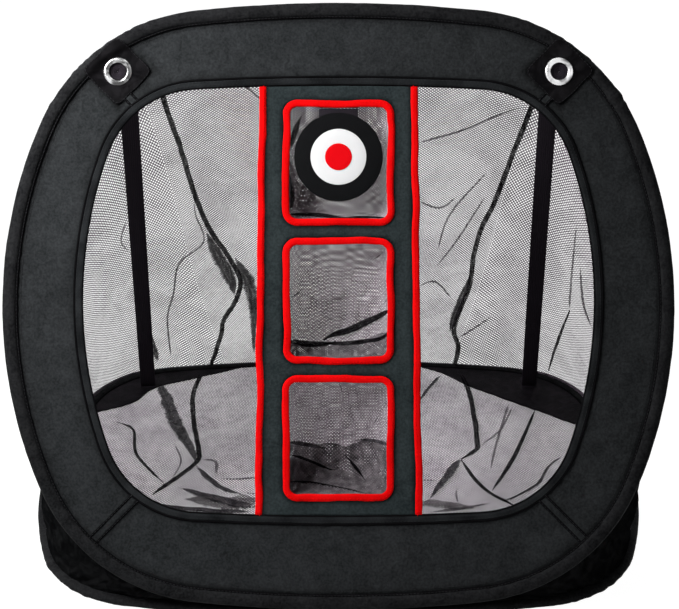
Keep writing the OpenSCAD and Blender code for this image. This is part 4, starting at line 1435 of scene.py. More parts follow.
@dataclass
class TargetBand:
    """Cloth band down the opening, with its red bindings and three net pouches."""

    shop: Workshop
    top_w: float = 0.154
    foot_w: float = 0.162
    win_w: float = 0.094
    end_strip: float = 0.014
    gap: float = 0.0105
    corner: float = 0.007
    pouch_depth: float = 0.042
    cell: float = 0.0026
    grip: float = 0.0033
    hold: float = 0.006
    end_gap: float = 0.0013
    tape_stations: int = 140
    pouch_count: int = 56
    layer_counts: tuple[int, int] = (60, 24)
    rise: float = 2 * SIZES.opening.half_h - 2 * SIZES.seat

    @property
    def win_h(self) -> float:
        """Clear height of a window."""
        outer = (2 * SIZES.opening.half_h - 2 * self.end_strip - 2 * self.gap) / 3
        return outer - 2 * SIZES.trim_w

    def window_y(self, row: int) -> float:
        """Height of a window's middle in the face's plane."""
        return SIZES.open_y + row * (self.win_h + 2 * SIZES.trim_w + self.gap)

    def _window_gap(self, x: Array, y: Array, grow: float) -> Array:
        """Distance outwards from the nearest window's rounded outline."""
        best = np.full(np.shape(x), 1.0)
        for row in WINDOWS.values():
            dx = np.abs(x) - self.win_w / 2 + self.corner
            dy = np.abs(y - self.window_y(row)) - self.win_h / 2 + self.corner
            out = np.hypot(np.maximum(dx, 0), np.maximum(dy, 0))
            inside = np.minimum(np.maximum(dx, dy), 0)
            best = np.minimum(best, out + inside - self.corner - grow)
        return best

    def cloth(self) -> None:
        """Builds the band with its three windows."""
        up = np.linspace(-self.rise / 2, self.rise / 2, math.ceil(self.rise / self.cell) + 1)
        share = np.linspace(-1, 1, math.ceil(self.foot_w / self.cell) + 1)
        half = np.interp(up, [up[0], up[-1]], [self.foot_w, self.top_w]) / 2 - self.grip
        x = share[:, None] * half[None, :]
        y = np.broadcast_to(up[None, :] + SIZES.open_y, x.shape)
        points = FACE.lay(np.dstack([x, y]), 0.0007 * rough(x, y, 0.05, 30.0, 3))
        piece = self.shop.sheet("target_band", points, "band", FRONT, Facing.ROWS_FIRST,
                                "charcoal_cloth", SIZES.cloth_t * 0.9)
        # Painted shadow and wear round the red bindings and the band's sides, written as the seam
        # shade.
        gap = np.minimum(self._window_gap(x, y, SIZES.trim_w),
                         half[None, :] + self.grip - SIZES.trim_w - np.abs(x))
        write_values(piece, SEAM_SHADE, 0.85 * np.exp(-np.maximum(gap, 0) / 0.0016))
        self._cut_windows(piece, np.column_stack([x.ravel(), y.ravel()]))
        window = (self.win_w + self.hold) * (self.win_h + self.hold)
        area = grid_area(points) - len(WINDOWS) * window

    def _cut_windows(self, piece: Piece, flat: Array) -> None:
        """Takes the windows out of the cloth and lays the cut edges on their outlines."""
        along, across, tiny = Vector(FACE.along), Vector(ACROSS), 1e-4
        with edited(piece.data) as shape:
            shape.verts.ensure_lookup_table()
            middles = [np.mean([flat[v.index] for v in face.verts], axis=0)
                       for face in shape.faces]
            gone = [face for face, middle in zip(shape.faces, middles)
                    if self._window_gap(*middle, self.grip) < 0]
            bmesh.ops.delete(shape, geom=gone, context="FACES_ONLY")
            for vert in shape.verts:
                x, y = flat[vert.index]
                gap = float(self._window_gap(x, y, self.grip))
                if vert.is_boundary and abs(gap) < 2 * self.cell:
                    right = float(self._window_gap(x + tiny, y, self.grip) - gap) / tiny
                    up = float(self._window_gap(x, y + tiny, self.grip) - gap) / tiny
                    vert.co -= gap * (right * across + up * along)
            loose = [v for v in shape.verts if not v.link_faces]
            bmesh.ops.delete(shape, geom=loose, context="VERTS")

    def _tape(self, name: str, path: Path, seed: float) -> None:
        """Builds one red binding and the stitches down its middle."""
        run = path.run
        wobble = 0.0022 * rough(run, 0, 0.07, seed, 2)
        if path.closed:
            wobble *= smooth(0, 0.01, run) * smooth(0, 0.01, run[-1] - run)
        grown = varied(rounded_profile(0, SIZES.trim_w, SIZES.trim_t, 0.0003, 5), wobble,
                       0.94 + 0.12 * rough(run, 0, 0.03, seed + 5, 2),
                       1 + 0.12 * rough(run, 0, 0.012, seed + 9))
        piece = swept(name + "_tape", FACE, path, grown, self.shop.finish["red"])
        self.shop.settle(piece, FRONT, "red_binding", name)
        line = FACE.lay(path.shifted(SIZES.trim_w * 0.62 + wobble), SIZES.trim_t / 2 + 0.0003)
        self.shop.sew(name + "_stitches", [looped(line) if path.closed else line],
                      slot="red_binding", thread="red_thread")

    def side_bindings(self) -> None:
        """Builds the red bindings down the band's two sides."""
        for side in (LEFT, RIGHT):
            reach = self.rise / 2 - self.end_gap
            foot = np.array([side * self.foot_w / 2, SIZES.open_y - reach])
            top = np.array([side * self.top_w / 2, SIZES.open_y + reach])
            lean = unit(top - foot)
            inwards = np.array([lean[1], -lean[0]]) * -side
            points = spanned(foot[None], top[None], self.tape_stations)[0]
            normals = np.repeat(inwards[None], self.tape_stations, 0)
            self._tape(f"band_binding_{SIDE_NAMES[side]}", Path(points, normals, False),
                       40.0 + side)

    def window_bindings(self) -> None:
        """Builds the red binding round each window."""
        x, y = self.win_w / 2 - self.corner, self.win_h / 2 - self.corner
        centres = np.array([(x, y), (-x, y), (-x, -y), (x, -y), (x, y)])
        for label, row in WINDOWS.items():
            points, normals = [], []
            for quarter in range(4):
                angles = np.linspace(0, math.pi / 2, 9) + quarter * math.pi / 2
                out = np.column_stack([np.cos(angles), np.sin(angles)])
                start = centres[quarter] + self.corner * out[-1]
                end = centres[quarter + 1] + self.corner * out[-1]
                count = int(np.linalg.norm(end - start) / 0.003)
                share = (np.arange(1, count) / count)[:, None]
                points += [centres[quarter] + self.corner * out, start + (end - start) * share]
                normals += [out, np.repeat(out[-1:], count - 1, axis=0)]
            path = Path(np.concatenate(points) + [0, self.window_y(row)],
                        np.concatenate(normals), True)
            self._tape(f"window_binding_{label}", path, 50.0 + 3 * row)

    def pouch_points(self, row: int) -> Array:
        """Grid of a pouch's net in the face's plane, hung deepest below its middle."""
        share = np.linspace(-1, 1, self.pouch_count)
        x, y = np.meshgrid(share, share, indexing="ij")
        held = (1 - x ** 4) * (1 - y ** 4)
        ridge = np.abs(rough(x, y * 1.6, 0.8, 64.0 + row, 2))
        reach = held * (self.pouch_depth * (1 - 0.35 * y) / 1.1
                        + 0.004 * rough(x, y, 0.55, 60.0 + row, 3)
                        + 0.003 * (1 - smooth(0, 0.16, ridge)))
        flat_x = x * (self.win_w / 2 + SIZES.trim_w / 2)
        flat_y = self.window_y(row) + y * (self.win_h / 2 + SIZES.trim_w / 2)
        return np.dstack([flat_x, flat_y, -0.0026 - np.maximum(reach, 0)])

    def _squash(self, piece: Piece) -> None:
        """Gives a pouch's net, or its folds, a copy of its own mesh."""
        tuple(FACE.lay([0.0, 0.0], -0.0022))
        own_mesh(piece)

    def pouches(self) -> None:
        """Builds each window's pouch, then lays the doubled net and the folds in it."""
        for label, row in WINDOWS.items():
            points = FACE.place(self.pouch_points(row))
            piece = self.shop.sheet(f"pouch_net_{label}", points, "pouch", FRONT,
                                    Facing.ROWS_FIRST)
            self._squash(piece)
            declare_sheet(points)
        for label, row in WINDOWS.items():
            strips = [self._layer(row, np.array(edge), 0.0012 * (k + 1))
                      for k, edge in enumerate(POUCH_LAYERS[label])]
            for number, (kind, width, line) in enumerate(POUCH_FOLDS[label]):
                centre = self._on_pouch(row, curve_through(np.array(line), 0.04))
                strips.append(pleat("pouch_fold", FACE.place(centre), FACE.out, width,
                                    70.0 + number, self.shop.finish[kind], lift=0.0022))
            piece = joined(f"pouch_folds_{label}", strips)
            self.shop.settle(piece, FRONT, "netting")
            self._squash(piece)

    def _on_pouch(self, row: int, spots: Array) -> Array:
        """Points of a pouch at shares from -1 to 1 of its window's width and height."""
        grid = self.pouch_points(row)
        at = (np.clip(spots, -0.999, 0.999) + 1) / 2 * (grid.shape[0] - 1)
        i, j = at[..., 0].astype(int), at[..., 1].astype(int)
        a, b = (at[..., 0] - i)[..., None], (at[..., 1] - j)[..., None]
        return (grid[i, j] * (1 - a) * (1 - b) + grid[i + 1, j] * a * (1 - b)
                + grid[i, j + 1] * (1 - a) * b + grid[i + 1, j + 1] * a * b)

    def _layer(self, row: int, edge: Array, lift: float) -> Piece:
        """Second layer of net from a slanting upper edge down to a window's foot."""
        wide, tall = self.layer_counts
        across = np.linspace(-0.98, 0.98, wide)
        top = (np.interp(across, edge[:, 0], edge[:, 1])
               + 0.05 * rough(across, 0, 0.3, 68.0 + row, 2))
        spots = spanned(np.column_stack([across, top]),
                        np.column_stack([across, np.full(wide, -0.98)]), tall)
        flat = self._on_pouch(row, spots) + np.array([0, 0, lift])
        ripples = 0.0016 * rough(spots[..., 0], spots[..., 1] * 2, 0.3, 66.0 + row, 2)
        flat[..., 2] = np.minimum(flat[..., 2] + ripples, -0.0022)
        # Lower windows take the doubled net, whose darker colour is painted shade.
        finish = self.shop.finish["pouch" if row == 1 else "doubled"]
        return grid_piece("pouch_layer", FACE.place(flat), finish, facing=Facing.ROWS_FIRST)

    def build(self) -> None:
        """Builds the whole band."""
        self.cloth()
        self.side_bindings()
        self.window_bindings()
        self.pouches()


# ------------------------------------------------------------------ bullseye


@dataclass
class Bullseye:
    """Stiff felt disc with a white ring and a red centre, on its cloth tab."""

    shop: Workshop
    disc_r: float = 0.043
    disc_y: float = 0.1445
    back: float = -0.0017
    thickness: float = 0.0024
    print_t: float = 0.0004
    prints: tuple = (("white", 0.027), ("red", 0.013))
    tab_w: float = 0.038
    tab_t: float = 0.0006
    tab_reach: float = 0.007

    def _disc(self, part: str, colour: str, radius: float, low: float, high: float,
              bevel: float) -> Piece:
        """Builds one round layer with soft edges, from a low to a high face."""
        angles = np.linspace(-math.pi / 2, math.pi / 2, 7)
        edge = np.column_stack([radius - bevel + bevel * np.cos(angles),
                                (low + high) / 2 + (high - low) / 2 * np.sin(angles)])
        profile = [(0.0, low), (radius - bevel, low), *edge, (radius - bevel, high),
                   (radius * 0.6, high), (0.0, high)]
        slot = f"{colour}_felt"
        piece = lathe(f"target_{part}_felt", FACE, (0.0, self.disc_y), profile,
                      self.shop.finish[slot])
        return self.shop.settle(piece, TARGET, slot, f"target_{part}")

    def _tab(self, name: str, body: str) -> None:
        """Builds one half of the cloth tab within its node's box."""
        low, high = (np.array(corner) - FACE.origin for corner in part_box(name))
        middle = (low + high) / 2
        centre, half = FACE.along @ middle, min(abs(FACE.along @ (high - low)) / 2, self.tab_reach)
        up = np.linspace(centre - half, centre + half, 12)
        line = FACE.lay(np.column_stack([0 * up, up]), FACE.out @ middle)
        piece = ribbon(name + "_tape", line, ACROSS, self.tab_w, self.tab_t,
                       self.shop.finish["webbing"])
        self.shop.settle(piece, body, "webbing", name)

    def build(self) -> None:
        """Builds the disc, its printed layers and its tab."""
        front = self.back + self.thickness
        disc = self._disc("disc", "black", self.disc_r, self.back, front, 0.0009)
        for level, (colour, radius) in enumerate(self.prints):
            low = front + level * self.print_t
            self._disc(colour, colour, radius, low, low + self.print_t, 0.0002)
        self._tab("target_tab", FRONT)
        self._tab("target_flap", TARGET)


# ------------------------------------------------------------------ nets


@dataclass(frozen=True)
class Fold:
    """Fold of net along points of a net.

    Attributes:
        kind: Which finish it takes.
        width: Widths from its start to its end, in metres.
        rear: Points on the upright nets as (turn, share down), on the right half.
        floor: Points that follow on the floor net, in metres from the hoop's middle.
    """

    kind: str
    width: tuple
    rear: tuple = ()
    floor: tuple = ()


RIGHT_FOLDS = (
    Fold("seam", (0.006, 0.006, 0.0065, 0.006),
         ((1.6, 0.0), (1.71, 0.17), (1.78, 0.25), (1.86, 0.34), (1.96, 0.44), (2.06, 0.52),
          (2.12, 0.6), (2.16, 0.7), (2.24, 0.8), (2.28, 0.87), (2.26, 0.93), (2.29, 1.0)),
         ((0.150, 0.232), (0.158, 0.191), (0.161, 0.135), (0.160, 0.064), (0.157, 0.044),
          (0.139, 0.024))),
    Fold("gathered", (0.003, 0.009, 0.012, 0.005),
         ((2.14, 0.66), (2.2, 0.73), (2.26, 0.8), (2.31, 0.88))),
    Fold("gathered", (0.010, 0.013, 0.010, 0.003), (),
         ((0.139, 0.025), (0.118, -0.019), (0.098, -0.059))),
    Fold("seam", (0.004, 0.005, 0.004), (),
         ((0.139, 0.022), (0.153, -0.023), (0.170, -0.051), (0.193, -0.073))),
    Fold("crease", (0.003, 0.003), (), ((0.209, 0.142), (0.189, 0.088), (0.161, 0.050))),
    Fold("seam", (0.003, 0.0045, 0.0055, 0.003), (),
         ((0.235, 0.135), (0.213, 0.068), (0.193, 0.014), (0.168, -0.041))),
    Fold("gathered", (0.003, 0.005, 0.004), (),
         ((0.255, 0.031), (0.236, 0.008), (0.220, -0.027), (0.195, -0.051),
          (0.174, -0.065))),
    Fold("crease", (0.002, 0.004), ((1.31, 0.4), (1.3, 0.63), (1.29, 0.69))),
    Fold("seam", (0.002, 0.0045, 0.002), ((1.29, 0.69), (1.42, 0.855), (1.5, 0.97))),
    Fold("crease", (0.002, 0.004, 0.003), ((1.23, 0.51), (1.13, 0.625), (0.95, 0.67))),
    Fold("crease", (0.003, 0.002), ((2.47, 0.3), (2.1, 0.25), (1.75, 0.175))),
    Fold("crease", (0.002, 0.003, 0.002), ((1.99, 0.355), (2.26, 0.485), (2.36, 0.6))),
    Fold("crease", (0.002, 0.003, 0.002), ((2.02, 0.425), (2.23, 0.565), (2.37, 0.65))),
    Fold("crease", (0.002, 0.003, 0.002), ((2.5, 0.45), (2.33, 0.47), (2.2, 0.43))),
    Fold("crease", (0.002, 0.003, 0.002), ((2.5, 0.72), (2.38, 0.7), (2.27, 0.76))),
    Fold("crease", (0.003, 0.002), ((2.27, 0.9), (2.14, 0.85), (2.02, 0.8))),
    Fold("gathered", (0.006, 0.004), (), ((0.128, 0.222), (0.112, 0.19), (0.095, 0.15))),
    Fold("crease", (0.004, 0.003), (), ((0.205, 0.15), (0.18, 0.05), (0.17, 0.0))),
    Fold("gathered", (0.004, 0.007, 0.005), (),
         ((0.215, -0.07), (0.16, -0.085), (0.1, -0.088), (0.085, -0.085))),
    Fold("crease", (0.003, 0.005, 0.007, 0.004), (),
         ((0.168, -0.064), (0.150, -0.071), (0.128, -0.078), (0.098, -0.083))),
    Fold("crease", (0.002, 0.004), (), ((0.112, -0.022), (0.100, -0.020), (0.084, -0.021))),
    Fold("crease", (0.002, 0.003, 0.002), (), ((0.132, -0.030), (0.128, -0.05), (0.13, -0.07))),
    # Dark net near the band's foot: a doubled layer whose dark colour is painted shade.
    Fold("doubled", (0.010, 0.016, 0.020, 0.022), (),
         ((0.15, -0.076), (0.13, -0.074), (0.108, -0.07), (0.083, -0.069))),
)
LEFT_FOLDS = (
    Fold("seam", (0.006, 0.006, 0.006, 0.006),
         ((1.74, 0.0), (1.82, 0.16), (1.93, 0.29), (2.05, 0.43), (2.16, 0.53), (2.28, 0.61),
          (2.37, 0.69), (2.35, 0.76), (2.28, 0.83), (2.27, 0.88), (2.22, 1.0)),
         ((0.168, 0.234), (0.172, 0.217), (0.177, 0.171), (0.170, 0.102), (0.160, 0.044),
          (0.162, 0.014), (0.203, -0.049))),
    Fold("gathered", (0.004, 0.018, 0.020, 0.004),
         ((2.13, 0.53), (2.2, 0.6), (2.29, 0.67), (2.345, 0.75))),
    Fold("gathered", (0.006, 0.020, 0.018, 0.008, 0.005),
         ((2.33, 0.62), (2.42, 0.7), (2.465, 0.79), (2.47, 0.88), (2.48, 0.96))),
    Fold("gathered", (0.004, 0.008, 0.010), ((1.68, 0.8), (1.75, 0.88), (1.82, 0.97))),
    Fold("gathered", (0.012, 0.019, 0.022, 0.016, 0.006), (),
         ((0.222, 0.2), (0.216, 0.184), (0.193, 0.107), (0.167, 0.038), (0.160, 0.016))),
    Fold("seam", (0.003, 0.004, 0.003), (),
         ((0.261, 0.107), (0.240, 0.089), (0.231, 0.038), (0.208, -0.003),
          (0.194, -0.023))),
    Fold("crease", (0.005, 0.005), (), ((0.157, 0.023), (0.139, 0.018), (0.136, -0.011))),
    Fold("gathered", (0.006, 0.009, 0.009, 0.005), (),
         ((0.160, 0.010), (0.143, -0.019), (0.126, -0.039), (0.103, -0.049))),
    Fold("gathered", (0.004, 0.013, 0.019, 0.020), (),
         ((0.177, -0.034), (0.145, -0.053), (0.115, -0.067), (0.088, -0.074))),
    Fold("crease", (0.002, 0.003, 0.003),
         ((2.04, 0.44), (2.06, 0.485), (2.12, 0.565), (1.96, 0.63), (1.93, 0.725),
          (1.89, 0.81), (1.95, 0.955))),
    Fold("crease", (0.002, 0.002), ((1.54, 0.44), (1.48, 0.495), (1.56, 0.55))),
    Fold("crease", (0.002, 0.003), ((2.2, 0.12), (2.36, 0.16), (2.5, 0.2))),
    Fold("gathered", (0.006, 0.010, 0.012, 0.006), (),
         ((0.215, -0.062), (0.18, -0.075), (0.13, -0.083), (0.09, -0.082))),
    Fold("crease", (0.003, 0.002), (), ((0.19, 0.06), (0.178, 0.02), (0.185, -0.02))),
    # Dark net near the band's foot: a doubled layer whose dark colour is painted shade.
    Fold("doubled", (0.010, 0.026, 0.034, 0.030), (),
         ((0.168, -0.058), (0.14, -0.064), (0.11, -0.066), (0.083, -0.062))),
    Fold("crease", (0.002, 0.004, 0.006), (),
         ((0.134, -0.016), (0.110, -0.018), (0.084, -0.013))),
    Fold("crease", (0.003, 0.006), (), ((0.105, -0.043), (0.094, -0.047), (0.083, -0.045))),
)


@dataclass
class HangingNets:
    """The nets that join the face to the ground hoop, the floor net and their folds."""

    shop: Workshop
    net_back: float = 0.0052
    foot_in: float = 0.0074
    foot_rise: float = 0.0028
    seams: tuple[float, float] = (1.6, 2.32)
    gusset_turn: float = -0.82
    tape_turn: float = -2.4
    tape_sewn: float = 0.005
    wave: float = 0.0035
    side_counts: tuple[int, int] = (70, 60)
    rear_counts: tuple[int, int] = (52, 60)
    gusset_counts: tuple[int, int] = (120, 22)

    def point(self, turn: float, down: float, slack: float, side: int) -> Array:
        """Point between the hoops.

        Args:
            turn: Turn round the hoops' right half.
            down: Share of the way from the face's hem down to the ground hem.
            slack: How far the net's middle hangs in.
            side: LEFT mirrors the point.

        Returns:
            The point in the row frame.
        """
        start = FACE.lay(SIZES.face.at(turn, SIZES.hem_w / 2), -self.net_back)
        end = GROUND.lay(SIZES.base.at(turn, self.foot_in), self.foot_rise)
        dip = slack * 4 * down * (1 - down)
        found = start + (end - start) * down - dip * np.array(
            [0.7 * start[0] / SIZES.face.half_w, 0.4, 0.6])
        found[0] *= side
        return found

    def surface(self, first: tuple, last: tuple, counts: tuple[int, int], side: int,
                slack: float = SIZES.net_slack, wave: float = 0.0) -> Array:
        """Grid of a net between two edges.

        Args:
            first: Turns of its first edge, on the face and on the ground.
            last: Turns of its last edge.
            counts: Number of points across and down.
            side: LEFT or RIGHT.
            slack: How far the net's middle hangs in.
            wave: Height of its soft creases.

        Returns:
            Points, across x down x 3.
        """
        grid = np.zeros((*counts, 3))
        for j, down in enumerate(np.linspace(0, 1, counts[1])):
            low = first[0] + (first[1] - first[0]) * down
            high = last[0] + (last[1] - last[0]) * down
            for i, across in enumerate(np.linspace(0, 1, counts[0])):
                grid[i, j] = self.point(low + (high - low) * across, down, slack, side)
        return grid + self._creases(grid, wave) if wave else grid

    def _creases(self, grid: Array, wave: float) -> Array:
        """Soft creases that fade out at the hems, square to a net's own face."""
        down = np.linspace(0, 1, grid.shape[1])[None, :]
        held = smooth(0, 0.14, down) * smooth(0, 0.14, 1 - down)
        out = unit(np.cross(np.gradient(grid, axis=0), np.gradient(grid, axis=1)))
        x, z = grid[..., 0], grid[..., 2]
        height = wave * held * rough(x + 0.4 * z, z * 0.5 + grid[..., 1] * 0.8, 0.09, 80.0, 3)
        return out * height[..., None] * np.sign(out[..., 1:2] + 1e-9)

    def upright(self) -> None:
        """Builds the two side nets and the rear net."""
        front = (self.gusset_turn,) * 2
        for side in (LEFT, RIGHT):
            pattern, points = (
                self.surface(front, self.seams, self.side_counts, side, wave=wave)
                for wave in (0.0, self.wave))
            piece = self.shop.sheet(f"side_net_{SIDE_NAMES[side]}", points, "net",
                                    ALONG_FOLD, NET_FACING[side])
            declare_sheet(pattern)
        pattern, points = (self._both(self.seams, (3, 3), self.rear_counts, wave=wave)
                           for wave in (0.0, self.wave))
        piece = self.shop.sheet("rear_net", points, "net", ALONG_FOLD, Facing.ROWS_FIRST)
        declare_sheet(pattern)

    def _both(self, first: tuple, last: tuple, counts: tuple[int, int], **kind: float) -> Array:
        """Grid of a net across the middle plane, from its left edge to its right one."""
        left, right = (self.surface(first, last, counts, side, **kind) for side in (LEFT, RIGHT))
        return np.concatenate([left, right[::-1][1:]])

    def gussets(self) -> None:
        """Builds the wrinkled satin gussets and the tape along the fold."""
        first, last = (self.tape_turn,) * 2, (self.gusset_turn,) * 2
        run = np.linspace(0, 1, self.gusset_counts[0])[:, None]
        down = np.linspace(0, 1, self.gusset_counts[1])[None, :]
        for side in (LEFT, RIGHT):
            pattern = self.surface(first, last, self.gusset_counts, side, 0.0)
            out = unit(np.cross(np.gradient(pattern, axis=0), np.gradient(pattern, axis=1)))
            room = np.minimum(1, np.linalg.norm(pattern[:, -1:] - pattern[:, :1], axis=2) / 0.04)
            waves = rough(run * 0.35, down * 0.05, 0.018, 90.0 + side, 3)
            height = 0.004 * waves * smooth(0, 0.2, down) * smooth(0, 0.2, 1 - down) * room
            piece = self.shop.sheet(f"corner_gusset_{SIDE_NAMES[side]}",
                                    pattern + out * height[..., None], "lining", ALONG_FOLD,
                                    NET_FACING[side], "satin_cloth", 0.0008)
            declare_sheet(pattern)
        tape = self._both(first, (-3, -3), (40, 5), slack=0.0)
        up = tape[:, :1] + self.tape_sewn * FACE.along - 0.0004 * FACE.out
        back = tape[:, -1:] + np.array([0, self.tape_sewn, 0.0004])
        tape = np.concatenate([up, tape, back], axis=1)
        piece = self.shop.sheet("hinge_tape", tape, "lining", ALONG_FOLD,
                                Facing.COLUMNS_FIRST, "satin_cloth", 0.0006)
        declare_sheet(tape)

    def floor(self) -> None:
        """Builds the floor net, which lies across the ground hoop."""
        rim = SIZES.base.path(0.01, SIZES.hem_w - 0.001).points
        flat = spanned(0 * rim, rim, 40)
        x, y = flat[..., 0], flat[..., 1]
        height = -0.002 + 0.0012 * rough(x, y, 0.07, 95.0, 3)
        height = height * smooth(0, 0.03, SIZES.base.depth(x, y) - SIZES.hem_w)
        points = GROUND.lay(flat, height)
        piece = self.shop.sheet("floor_net", points, "floor_net", BASE, Facing.ROWS_FIRST,
                                wrap=(True, False))
        with edited(piece.data) as shape:
            bmesh.ops.remove_doubles(shape, verts=shape.verts, dist=1e-6)
            layer = shape.loops.layers.uv.active
            for face in shape.faces:
                for loop in face.loops:
                    loop[layer].uv = (loop.vert.co.x, loop.vert.co.y)
        2 * (SIZES.base.half_w - SIZES.hem_w)
        2 * (SIZES.base.half_h - SIZES.hem_w)
        round(grid_area(points), 5)

    def folds(self) -> None:
        """Lays the seams and folds on the nets, each over the net that carries it."""
        for side, folds in ((LEFT, LEFT_FOLDS), (RIGHT, RIGHT_FOLDS)):
            hung, lying = [], []
            for number, fold in enumerate(folds):
                seed = 100.0 + 7 * number + side
                share = len(fold.rear) / (len(fold.rear) + len(fold.floor))
                split = max(1, round(share * len(fold.width)))
                if fold.rear:
                    widths = fold.width[:split] if fold.floor else fold.width
                    hung.append(self._hung_fold(fold, side, widths, seed))
                if fold.floor:
                    widths = fold.width[split - 1:] if fold.rear else fold.width
                    lying.append(self._lying_fold(fold, side, widths, seed))
            label = SIDE_NAMES[side]
            self.shop.settle(joined(f"net_seam_{label}_tape", hung[:1]), ALONG_FOLD,
                             "satin_cloth", f"net_seam_{label}")
            self.shop.settle(joined(f"net_folds_{label}", hung[1:]), ALONG_FOLD, "netting")
            self.shop.settle(joined(f"floor_folds_{label}", lying), BASE, "netting")

    def _hung_fold(self, fold: Fold, side: int, widths: tuple, seed: float) -> Piece:
        """Builds a fold on an upright net."""
        spots = curve_through(np.array(fold.rear, float), 0.008)
        centres = np.array([self.point(turn, down, SIZES.net_slack, side) for turn, down in spots])
        inwards = unit(np.array([0.0, -0.75, 0.35]) + np.outer(centres[:, 0], [-1.6, 0.0, 0.0]))
        return pleat("hung_fold", centres, inwards, widths, seed,
                     self.shop.finish[fold.kind], lift=0.0035,
                     taper=0.15 if fold.kind == "seam" else 0.7)

    def _lying_fold(self, fold: Fold, side: int, widths: tuple, seed: float) -> Piece:
        """Builds a fold that lies on the floor net."""
        spots = curve_through(np.array(fold.floor, float), 0.004) * np.array([side, 1])
        return pleat("lying_fold", GROUND.lay(spots, -0.0012), GROUND.out, widths, seed,
                     self.shop.finish[fold.kind])

    def build(self) -> None:
        """Builds all the netting."""
        self.upright()
        self.gussets()
        self.floor()
        self.folds()


# ------------------------------------------------------------------ rear corners and straps


PATCH_EDGES: dict[int, tuple] = {
    LEFT: ((0.312, 0.122), (0.287, 0.130), (0.247, 0.152), (0.225, 0.188), (0.178, 0.212),
           (0.136, 0.233), (0.105, 0.248)),
    RIGHT: ((0.316, 0.084), (0.284, 0.097), (0.235, 0.134), (0.198, 0.162), (0.162, 0.191),
            (0.132, 0.222), (0.099, 0.243), (0.080, 0.2485))}


@dataclass
class RearCorners:
    """Satin patches in the rear corners, the straps and their foot tabs."""

    shop: Workshop
    strap_w: float = 0.018
    strap_t: float = 0.0016
    tab_t: float = 0.0011
    patch_rows: int = 24
    sewn_flat: float = 0.012
    strap_top: tuple[float, float] = (0.20393, 0.204115)
    strap_foot: tuple[float, float] = (0.233654, 0.190865)

    def patch(self, side: int) -> None:
        """Builds one rear patch between the hoop and its soft inner edge."""
        inset = SIZES.hem_w - 0.001
        edge = curve_through(np.array(PATCH_EDGES[side]), 0.004)
        turns = np.linspace(0, 3, 301)
        outline = np.array([SIZES.base.at(turn, inset) for turn in turns])
        first, last = (turns[np.argmin(np.linalg.norm(outline - end, axis=1))]
                       for end in (edge[0], edge[-1]))
        rim = SIZES.base.path(0.006, inset, first, last).points
        edge = resampled(edge, len(rim))
        edge[0], edge[-1] = rim[0], rim[-1]
        flat = spanned(edge, rim, self.patch_rows)
        relief = rough(flat[..., 0], flat[..., 1], 0.035, 110.0 + side, 3)
        fade = smooth(0, 0.15, 1 - np.linspace(0, 1, self.patch_rows))
        mirror = np.array([side, 1])
        points = GROUND.lay(flat * mirror, 0.0006 + 0.0007 * relief * fade)
        label = SIDE_NAMES[side]
        piece = self.shop.sheet(f"rear_patch_{label}", points, "satin", BASE,
                                NET_FACING[-side], "satin_cloth", 0.0009)
        declare_sheet(points)
        sewn = (edge + (rim - edge) * 0.05) * mirror
        self.shop.sew(f"rear_patch_stitches_{label}", [GROUND.lay(sewn, 0.0016)], BASE)

    def _webbing(self, name: str, centres: Array, thickness: float, body: str) -> None:
        """Builds a flat length of webbing."""
        piece = ribbon(name + "_webbing", centres, ACROSS, self.strap_w, thickness,
                       self.shop.finish["webbing"])
        self.shop.settle(piece, body, "webbing", name)

    def strap(self, side: int) -> None:
        """Builds a strap from behind the border to its foot, sewn flat at both ends."""
        x, y = side * self.strap_top[0], self.strap_top[1]
        top, sewn = FACE.lay([x, y], -0.0034), FACE.lay([x, y + self.sewn_flat], -0.0029)
        foot = GROUND.lay([side * self.strap_foot[0], self.strap_foot[1]], 0.0030)
        laid = foot + np.array([0, 0.010, -0.0002])
        line = spanned(top[None], foot[None], 60)[0]
        centres = curve_through(np.concatenate([[sewn], line[1:-1:6], [foot, laid]]), 0.006)
        self._webbing(f"strap_{SIDE_NAMES[side]}", centres, self.strap_t, ALONG_FOLD)

    def foot_tab(self, side: int) -> None:
        """Builds the flat tab between the strap's foot and the small eyelet."""
        name = f"foot_tab_{SIDE_NAMES[side]}"
        low, high = (np.array(corner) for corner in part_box(name))
        centres = np.repeat((low + high)[None] / 2, 20, axis=0)
        centres[:, 1] = np.linspace(low[1] + 0.0005, high[1], 20)
        self._webbing(name, centres, self.tab_t, BASE)

    def build(self) -> None:
        """Builds both corners."""
        for side in (LEFT, RIGHT):
            self.patch(side)
            self.foot_tab(side)
            self.strap(side)


# ------------------------------------------------------------------ metal parts


def dress_metal(finish: dict[str, Material]) -> None:
    """Gives the eyelets, washers, wires and crimps their metal."""
    for name, node in frame["nodes"].items():
        if "hoop" in name or "ferrule" in name:
            metal = finish["steel"]
        elif (name in ("eyelet_left", "eyelet_right") or "washer" in name
              or name.startswith("foot_eyelet")):
            metal = finish["chrome"]
        else:
            continue
        node.data.materials.clear()
        node.data.materials.append(metal)
        LOG.info("%s takes %s", name, metal.name)


# ------------------------------------------------------------------ studio


